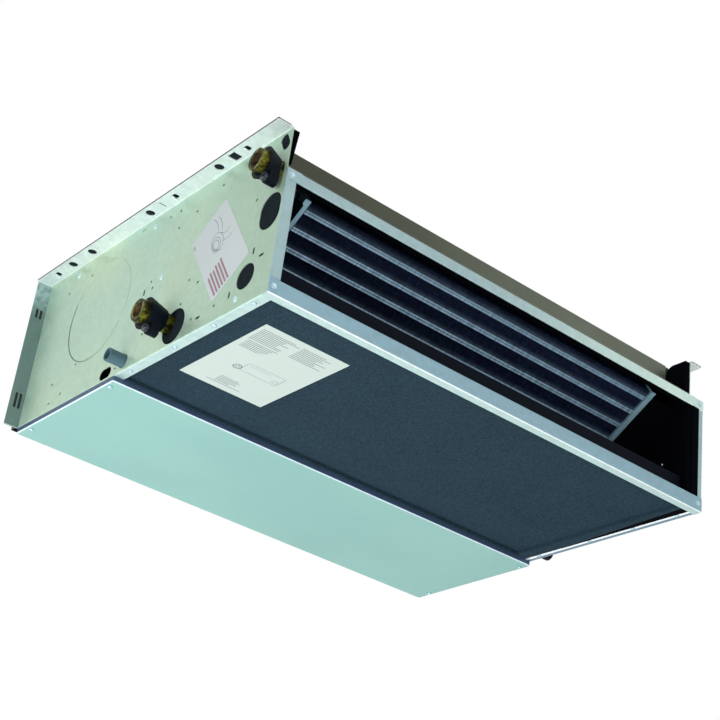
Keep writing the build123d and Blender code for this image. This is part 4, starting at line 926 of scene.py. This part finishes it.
# %% Side label
SIDE_LABEL_SIZE = (73.2 * MM, 124.0 * MM)
SIDE_LABEL_UP = np.array([0.0, 0.5642, 0.8257])
LINE = 0.65 * MM
BAR_PITCH = 5.3 * MM
BAR_LOW = -57.5 * MM
BAR_HALF_WIDTH = 1.5 * MM
side_middle = at(LEFT_FACE - 0.05, 115.8, 99.4)
side_right = np.cross(SIDE_LABEL_UP, np.array([-1.0, 0.0, 0.0]))
turn = np.linspace(0, 2 * math.pi, 49)
ring = np.stack([np.cos(turn), np.sin(turn)], 1)
run = np.linspace(0, 1, 25)
drawing = [
    stroke((np.array([1.0, 14.0]) + ring * [11.0, 15.0]) * MM, LINE),
    stroke((np.array([-1.0, 13.0]) + ring * [7.2, 10.5]) * MM, LINE),
    stroke((np.array([-2.0, 12.0]) + ring * [5.0, 8.0]) * MM, LINE),
    stroke(np.stack([8 + 3 * np.sin(3 * run), 28 + 26 * run], 1) * MM, LINE),
    stroke(np.stack([14 + 4 * np.sin(2.4 * run), 22 + 26 * run], 1) * MM, LINE),
    stroke(np.stack([11 + 15 * run, 20 - 9 * np.sin(2.4 * run)], 1) * MM, LINE),
    stroke(np.stack([9 + 17 * run, 5 - 6 * np.sin(2.0 * run)], 1) * MM, LINE),
    stroke(np.stack([-10 + 12 * run, 4 - 8 * run ** 2], 1) * MM, LINE),
]
bar_x = -3.0 * MM - np.arange(6) * BAR_PITCH
bar_high = -15.5 * MM - np.array([0.0, 1.4, 0.4, 2.6, 1.2, 4.0]) * MM * 1.6
bit_starts = np.linspace(0, 1, 12)[:-1]
bits = [[x - BAR_HALF_WIDTH, low, x + BAR_HALF_WIDTH, low + 0.68 * (high - BAR_LOW) / len(bit_starts)]
        for x, high in zip(bar_x, bar_high) for low in BAR_LOW + bit_starts * (high - BAR_LOW)]
small_print = [[x * MM, 46 * MM, (x + 0.7) * MM, 55 * MM] for x in (-34.6, -33.0)]
side_marks = [("drawing", drawing, ink), ("bars", [bars(bits)], red_ink),
              ("small_print", [bars(small_print)], ink)]
label("side_label", SIDE_LABEL_SIZE, 3.0 * MM, side_middle, side_right, SIDE_LABEL_UP, side_marks)

# %% [markdown]
# ## Label under the tray
# This one carries two columns of ruled lines and a plain scheme. Its marks are placed in shares of its half
# sizes, so they keep their order when the label is cut to another size.

# %% Tray label
LABEL_HALF = np.array([59.6, 85.8]) * MM
RULE_PITCH = 3.5 * MM
RULE_HEIGHT = 1.0 * MM
TRAY_BOTTOM = 3.9
tray_middle = at(-235.2, 150.5, TRAY_BOTTOM)
rule_shares = 0.62 + 0.38 * rng.random(60)


def paragraph(left, right, top, rows, first):
    """Ruled rows in a part of the tray label, its edges given as shares of the half sizes."""
    return ruled(left * LABEL_HALF[0], right * LABEL_HALF[0], top * LABEL_HALF[1], rows, RULE_PITCH,
                 RULE_HEIGHT, rule_shares[first:])


columns = [
    paragraph(-0.92, -0.03, 0.87, 9, 0),
    paragraph(-0.87, -0.15, 0.48, 6, 9),
    paragraph(0.02, 0.82, 0.87, 9, 15),
    paragraph(-0.35, 0.18, -0.64, 5, 24),
    paragraph(-0.50, 0.50, -0.85, 1, 30),
]
scheme_line = rounded_outline(0.88 * LABEL_HALF[0], 0.26 * LABEL_HALF[1], 2.0 * MM)
scheme_line = np.concatenate([scheme_line, scheme_line[:1]]) + [0.17, -0.17] * LABEL_HALF
icon_middle = [-0.36, -0.25] * LABEL_HALF
inner_line = np.stack([(-0.2 + 0.5 * run) * LABEL_HALF[0], np.full(len(run), -0.10) * LABEL_HALF[1]], 1)
scheme = [
    stroke(scheme_line, 0.55 * MM),
    stroke(icon_middle + ring * 5.2 * MM, 1.3 * MM),
    stroke(icon_middle + ring * [2.2 * MM, 3.0 * MM], 0.7 * MM),
    stroke(inner_line, 0.5 * MM),
    stroke([0.52, -0.22] * LABEL_HALF + ring * 3.6 * MM, 0.5 * MM),
]
label("tray_label", tuple(2 * LABEL_HALF), 1.0 * MM, tray_middle, np.array([1.0, 0.0, 0.0]),
      np.array([0.0, -1.0, 0.0]), [("rules", columns, ink), ("scheme", scheme, ink)])

# %% [markdown]
# ## Lanced tabs in the ceiling flanges
# A lance is cut on three sides and pressed down, so that a wire or a strap can pass. Its tongue stays joined
# to the flange at one end and curves away below it. The middle line follows an arc, the strip narrows toward
# its tip, and a ring of four points round each place on the arc gives it its thickness.

# %% Lanced tabs
TAB_BEND = math.radians(75)
TAB_RADIUS = 8.0 * MM
TAB_HALF_WIDTH = 3.2 * MM
TAB_HALF_THICK = 0.5 * MM
TAB_ROOT_BEHIND = 5.0
TAB_COLUMNS = (LEFT_FACE - 11, RIGHT_FACE + 11)
TAB_DEPTHS = (76.5, 225.0, 506.0)


def tongue(steps=9):
    """One bent tongue about its root: it runs along -Y and curves down.

    The place at a turn is minus radius times its sine along Y and minus radius times one less its cosine
    along Z.
    """
    turn = np.linspace(0, TAB_BEND, steps)
    flat = np.zeros(steps)
    middle = TAB_RADIUS * np.stack([flat, -np.sin(turn), np.cos(turn) - 1], 1)
    normal = TAB_HALF_THICK * np.stack([flat, -np.sin(turn), np.cos(turn)], 1)
    wide = TAB_HALF_WIDTH * (1 - 0.25 * (turn / TAB_BEND) ** 3)
    side = np.stack([wide, flat, flat], 1)
    rings = np.stack([middle - side - normal, middle + side - normal,
                      middle + side + normal, middle - side + normal], axis=1)
    return rings.reshape(-1, 3), grid_faces(steps, 4, closed=True)


tab_points, tab_faces = tongue()
tab_places = [at(x, y + TAB_ROOT_BEHIND, TOP_FACE - 0.5) for x in TAB_COLUMNS for y in TAB_DEPTHS]
roots = np.arange(len(tab_places))[:, None] * len(tab_points)
tips = roots + len(tab_points) - 4
tab_caps = np.concatenate([roots + [0, 3, 2, 1], tips + [0, 1, 2, 3]]).tolist()
tabs = build("lanced_tabs", repeated(tab_points, tab_faces, tab_places), tab_zinc.data, smooth=False,
             caps=tab_caps)

# %% [markdown]
# ## Foam tape on the ceiling flanges
# A thin black tape lies between the flange and the ceiling, so every hole of the flange looks dark from
# below. The hanging bolts are pushed through it. It is one section with two softly rounded edges, pulled
# from the front end of the tape to its rear end; the right tape is the mirror image of the left one.

# %% Ceiling tapes
TAPE_INNER, TAPE_OUTER = 344.0, 362.6
TAPE_BOTTOM = TOP_FACE + 0.02
TAPE_EDGE = TOP_FACE + 0.9
TAPE_ROUNDING = 0.5
TAPE_REAR = REAR_FACE - 0.4
tape_turn = np.linspace(0, math.pi / 2, 5)
tape_round = TAPE_ROUNDING * np.stack([np.sin(tape_turn), np.cos(tape_turn)], 1)
outer_round = [TAPE_OUTER - TAPE_ROUNDING, TAPE_EDGE] + tape_round
inner_round = [TAPE_INNER + TAPE_ROUNDING, TAPE_EDGE] + (tape_round * [-1, 1])[::-1]
tape_section = np.concatenate([[[TAPE_INNER, TAPE_BOTTOM], [TAPE_OUTER, TAPE_BOTTOM]], outer_round[::-1],
                               inner_round[::-1]])
around = len(tape_section)
for side, word, tape_front in ((-1, "left", 3.4), (1, "right", 8.4)):
    section = tape_section[::side]
    ends = [at(0, 0, 0) + np.column_stack([side * section[:, 0], np.full(around, y), section[:, 1]]) * MM
            for y in (tape_front, TAPE_REAR)]
    tape = build("soft_tape_" + word, (np.concatenate(ends), grid_faces(2, around, closed=True)),
                 materials["black_foam"], smooth=False,
                 caps=[list(range(around))[::-1], list(range(around, 2 * around))])
    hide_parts("ceiling_tape_" + word)

# %% [markdown]
# ## Strips round the openings
# Thin foam is glued where air could whistle through a joint: on the inner half of the right stile, over the
# joint between the tray and the right bottom flange and in front of the service cover. The black strip under
# the upper rail is painted shade on the rail's return. Each strip is a rounded section between two corners,
# pulled along its longest side.

# %% Foam strips
STRIP_ROUNDING = 0.3


def strip(name, slot, low, high):
    """A block between two corners, in millimetres of the drawing, with rounded edges along its length."""
    low, high = np.array(low, float), np.array(high, float)
    size = high - low
    long_axis = int(np.argmax(size))
    u, v = [k for k in range(3) if k != long_axis]
    section = rounded_outline(size[u], size[v], STRIP_ROUNDING, 4)
    around = len(section)
    points = np.zeros((2 * around, 3))
    points[:, u] = np.tile(section[:, 0], 2) + (low[u] + high[u]) / 2
    points[:, v] = np.tile(section[:, 1], 2) + (low[v] + high[v]) / 2
    points[:, long_axis] = np.repeat([low[long_axis], high[long_axis]], around)
    faces = grid_faces(2, around, closed=True)
    caps = np.array([np.arange(around)[::-1], np.arange(around, 2 * around)])
    if long_axis == 1:
        faces, caps = faces[:, ::-1], caps[:, ::-1]
    shape = (at(0, 0, 0) + points * MM, faces)
    piece = build(name, shape, materials[slot], smooth=False, caps=caps.tolist())


STRIP_TOP = UPPER_RAIL_BOTTOM - 0.1
STILE_LEFT = 338.6
STILE_FOOT = LOWER_RAIL_TOP + 0.2
JOINT_FRONT = 12.4
JOINT_REAR = COVER_FRONT - 0.6
black_strips = (
    # The first black strip is painted shade under the upper rail's return.
    ("upper_rail_shade_strip", (-326.5, 1.0, STRIP_TOP - 0.8), (STILE_LEFT - 0.1, 9.0, STRIP_TOP)),
    ("right_stile_foam", (STILE_LEFT, 0.15, STILE_FOOT), (351.0, 0.9, STRIP_TOP)),
    ("right_web_foam", (STILE_LEFT, 0.95, STILE_FOOT), (339.9, 2.9, STRIP_TOP)))
slate_strips = (
    ("right_joint_foam", (329.0, JOINT_FRONT, -0.9), (346.9, COVER_FRONT - 0.3, -0.1)),
    ("right_joint_filler", (329.0, JOINT_FRONT, 0.0), (330.7, JOINT_REAR, TRAY_BOTTOM)),
    ("cover_joint_foam", (-326.6, 302.6, -0.9), (328.9, JOINT_REAR, TRAY_BOTTOM)))
for slot, strips in (("black_foam", black_strips), ("slate_foam", slate_strips)):
    for name, low, high in strips:
        strip(name, slot, low, high)

# %% [markdown]
# ## A shadow wedge and a pin
# The shade in the joint beside the tray widens toward the front, so a long black wedge is painted shadow
# over
# it: a triangle with a thickness. A pale pin with a round head, turned from its profile, holds the lining of
# the right cheek.

# %% Shadow wedge
wedge_xy = np.array([[335.0, JOINT_FRONT + 0.1], [346.8, JOINT_FRONT + 0.1], [346.8, 235.0]])
wedge_points = np.concatenate([np.column_stack([wedge_xy, np.full(3, z)]) for z in (-1.15, -0.92)])
wedge = build("right_shadow_wedge", (at(0, 0, 0) + wedge_points * MM, grid_faces(2, 3, closed=True)),
              materials["black_foam"], smooth=False, caps=[[2, 1, 0], [3, 4, 5]])

# %% Lining pin
PIN_RADIUS = 1.4 * MM
PIN_HEIGHT = 0.9 * MM
PIN_EDGE = 0.2 * MM
pin_turn = np.linspace(0, math.pi / 2, 7)
pin_dome = np.stack([PIN_RADIUS * np.cos(pin_turn), PIN_EDGE + PIN_HEIGHT * np.sin(pin_turn)], 1)
pin_points, pin_faces = turned(np.concatenate([[[0.0, 0.0]], pin_dome]), 20)
pin = build("lining_pin", (facing(pin_points, (-1, 0, 0)) + at(331.6, 44.3, 68.2), pin_faces),
            materials["pale_plastic"])

# %% [markdown]
# ## Pleated filter
# The mat is folded in narrow pleats so that more of it fits in the frame. Its middle line is a rounded
# zigzag, the arcsine of a sine, and the mat has the same thickness everywhere. Cloth physics would only
# disturb folds that a machine makes all alike.

# %% Filter mat
FILTER_HALF = 330.8 * MM
FILTER_LOW, FILTER_HIGH = height_of(16.6), height_of(199.9)
FILTER_FACE = REAR_FACE + 0.3
PLEATS = 64
PLEAT_DEPTH = 1.55 * MM
MAT_HALF = 0.6 * MM
SHARPNESS = 0.97
mat_x = np.linspace(-FILTER_HALF, FILTER_HALF, PLEATS * 6 + 1)
pleat_phase = (mat_x + FILTER_HALF) / (2 * FILTER_HALF) * PLEATS * 2 * math.pi
mat_y = depth_of(FILTER_FACE + 3.6) + np.arcsin(np.sin(pleat_phase) * SHARPNESS) * PLEAT_DEPTH
inner_side = np.stack([mat_x, mat_y - MAT_HALF], 1)
outer_side = np.stack([mat_x, mat_y + MAT_HALF], 1)
mat_outline = np.concatenate([inner_side, outer_side[::-1]])
total = len(mat_outline)
mat_points = np.concatenate([np.column_stack([mat_outline, np.full(total, z)])
                             for z in (FILTER_LOW, FILTER_HIGH)])
column = np.arange(len(mat_x) - 1)
lower_faces = np.stack([column, total - 1 - column, total - 2 - column, column + 1], axis=1)
upper_faces = lower_faces[:, ::-1] + total
mat_faces = np.concatenate([grid_faces(2, total, closed=True), lower_faces, upper_faces])
mat_piece = build("filter_pleats", (mat_points, mat_faces), materials["filter_mat"], "filter")
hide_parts("filter_media")

# %% [markdown]
# ## Net over the mat
# A plastic net on the outside holds the folds. Upright and level bars cross in one plane; each is one block
# repeated at even distances.

# %% Filter net
BAR = 0.7 * MM
NET_MARGIN = 6.0 * MM
UPRIGHTS, LEVELS = 52, 15
net_y = depth_of(FILTER_FACE + 8.0)
upright_x = np.linspace(-FILTER_HALF + NET_MARGIN, FILTER_HALF - NET_MARGIN, UPRIGHTS)
level_z = np.linspace(FILTER_LOW + NET_MARGIN, FILTER_HIGH - NET_MARGIN, LEVELS)
upright = box_shape((-BAR, -BAR, FILTER_LOW), (BAR, BAR, FILTER_HIGH))
level = box_shape((-FILTER_HALF, -BAR * 0.9, -BAR), (FILTER_HALF, BAR * 0.9, BAR))
upright_places = np.column_stack([upright_x, np.full(UPRIGHTS, net_y), np.zeros(UPRIGHTS)])
level_places = np.column_stack([np.zeros(LEVELS), np.full(LEVELS, net_y), level_z])
net = joined(repeated(*upright, upright_places), repeated(*level, level_places))
net_piece = build("filter_net", net, materials["black_plastic"], "filter", smooth=False)

# %% [markdown]
# ## White for the eye, dim for the light
# The picture needs a white background, but a white room would light the unit from all sides and flatten it.
# The Light Path node tells the rays apart: the camera, mirrors and glass see plain white, and diffuse light
# gets the real, dimmer room. The same mix serves the world and the floor.

# %% World
WHITE = (1.0, 1.0, 1.0, 1.0)


def white_to_sight(tree, kind, lit, surface):
    """Mix plain white with the lit shader by the kind of ray, and wire the mix into an output node."""
    rays = add_node(tree, "ShaderNodeLightPath")
    seen = Value(tree, rays.outputs["Is Camera Ray"])
    for name in ("Is Transmission Ray", "Is Glossy Ray"):
        seen = seen.math("MAXIMUM", Value(tree, rays.outputs[name]))
    white = add_node(tree, kind, None, {"Color": WHITE, "Strength": 1.0})
    wires = {0: seen, 1: Value(tree, lit.outputs[0]), 2: Value(tree, white.outputs[0])}
    choice = add_node(tree, "ShaderNodeMixShader", None, wires)
    connect(tree, Value(tree, choice.outputs[0]), surface)


world = bpy.data.worlds.new("studio")
bpy.context.scene.world = world
world.use_nodes = True
world.node_tree.nodes.clear()
room_light = {"Color": (0.93, 0.97, 1.0, 1.0), "Strength": 0.30}
ambient = add_node(world.node_tree, "ShaderNodeBackground", None, room_light)
world_end = add_node(world.node_tree, "ShaderNodeOutputWorld")
white_to_sight(world.node_tree, "ShaderNodeBackground", ambient, world_end.inputs["Surface"])
print("world nodes:", len(world.node_tree.nodes))

# %% [markdown]
# ## Floor
# The unit hangs from a ceiling, so the floor lies well below it. It is one pale sheet that throws soft light
# back on the underside.

# %% Floor
FLOOR_HALF = 9.0
FLOOR_LEVEL = -1.9
floor_paint = Surface("floor_paint", (0.80, 0.82, 0.82), 0.9, 0.0, 0.1)
floor_end = floor_paint.tree.nodes["Material Output"].inputs["Surface"]
white_to_sight(floor_paint.tree, "ShaderNodeEmission", floor_paint.shader, floor_end)
floor_corners = np.array([[-1, -1], [1, -1], [1, 1], [-1, 1]]) * FLOOR_HALF
floor_mesh = bpy.data.meshes.new("floor")
floor_points = np.column_stack([floor_corners, np.full(4, FLOOR_LEVEL)])
floor_mesh.from_pydata(floor_points.tolist(), [], [(0, 1, 2, 3)])
floor_mesh.materials.append(floor_paint.data)
floor = bpy.data.objects.new("floor", floor_mesh)
bpy.context.scene.collection.objects.link(floor)
print("floor at", FLOOR_LEVEL, "m")

# %% [markdown]
# ## Lamps
# Large soft lamps give the even light of a studio picture. Three of them stand low, in front, at the left
# and under the unit, because the camera looks up. Two more light the rear and the top for other views.
# A lamp and a camera are placed alike: each looks along minus its third axis.

# %% Lamps


def stand(thing, right, up, place):
    """Link a lamp or camera, with its right, its up and their cross product as axes, at a place."""
    bpy.context.scene.collection.objects.link(thing)
    axes = np.column_stack([right, up, np.cross(right, up), place])
    thing.matrix_world = Matrix([*axes.tolist(), [0.0, 0.0, 0.0, 1.0]])


def lamp(name, place, aim, size, power):
    """A square soft lamp that looks at a point."""
    data = bpy.data.lights.new(name, "AREA")
    data.shape = "SQUARE"
    data.size = size
    data.energy = power
    toward = np.subtract(aim, place)
    toward /= np.linalg.norm(toward)
    side = np.cross(toward, [0.0, 0.0, 1.0] if abs(toward[2]) < 0.95 else [0.0, 1.0, 0.0])
    side /= np.linalg.norm(side)
    stand(bpy.data.objects.new(name, data), side, np.cross(side, toward), place)


UNIT_MIDDLE = (0.0, 0.0, -0.1)
lamp("key", (-2.7, -0.7, -1.1), UNIT_MIDDLE, 1.6, 38.0)
lamp("front", (-0.5, -2.8, -0.75), UNIT_MIDDLE, 1.8, 30.0)
lamp("under", (-0.5, 0.2, -1.7), (0.1, 0.1, 0.0), 2.2, 31.0)
lamp("rear", (1.6, 2.8, 0.9), UNIT_MIDDLE, 2.0, 42.0)
lamp("top", (-0.6, -0.2, 2.4), (0.0, 0.0, 0.0), 2.2, 26.0)

# %% [markdown]
# ## Camera
# The camera stands below the unit at its front left, where the photo was taken. Its place and direction were
# solved from the corners of the casing in the photo.

# %% Camera
SENSOR_WIDTH = 36.0
FOCAL_LENGTH = 79.3
CAMERA_RIGHT = np.array([0.76215, -0.63681, 0.11662])
CAMERA_UP = np.array([-0.38154, -0.29630, 0.87558])
CAMERA_PLACE = (-1.1091, -1.5229, -1.0467)
lens = bpy.data.cameras.new("camera")
lens.sensor_width = SENSOR_WIDTH
lens.lens = FOCAL_LENGTH
camera = bpy.data.objects.new("camera", lens)
stand(camera, CAMERA_RIGHT, CAMERA_UP, CAMERA_PLACE)
bpy.context.scene.camera = camera
bpy.context.scene.view_settings.view_transform = "Standard"
print("camera to unit:", round(float(np.linalg.norm(CAMERA_PLACE)), 3), "m")
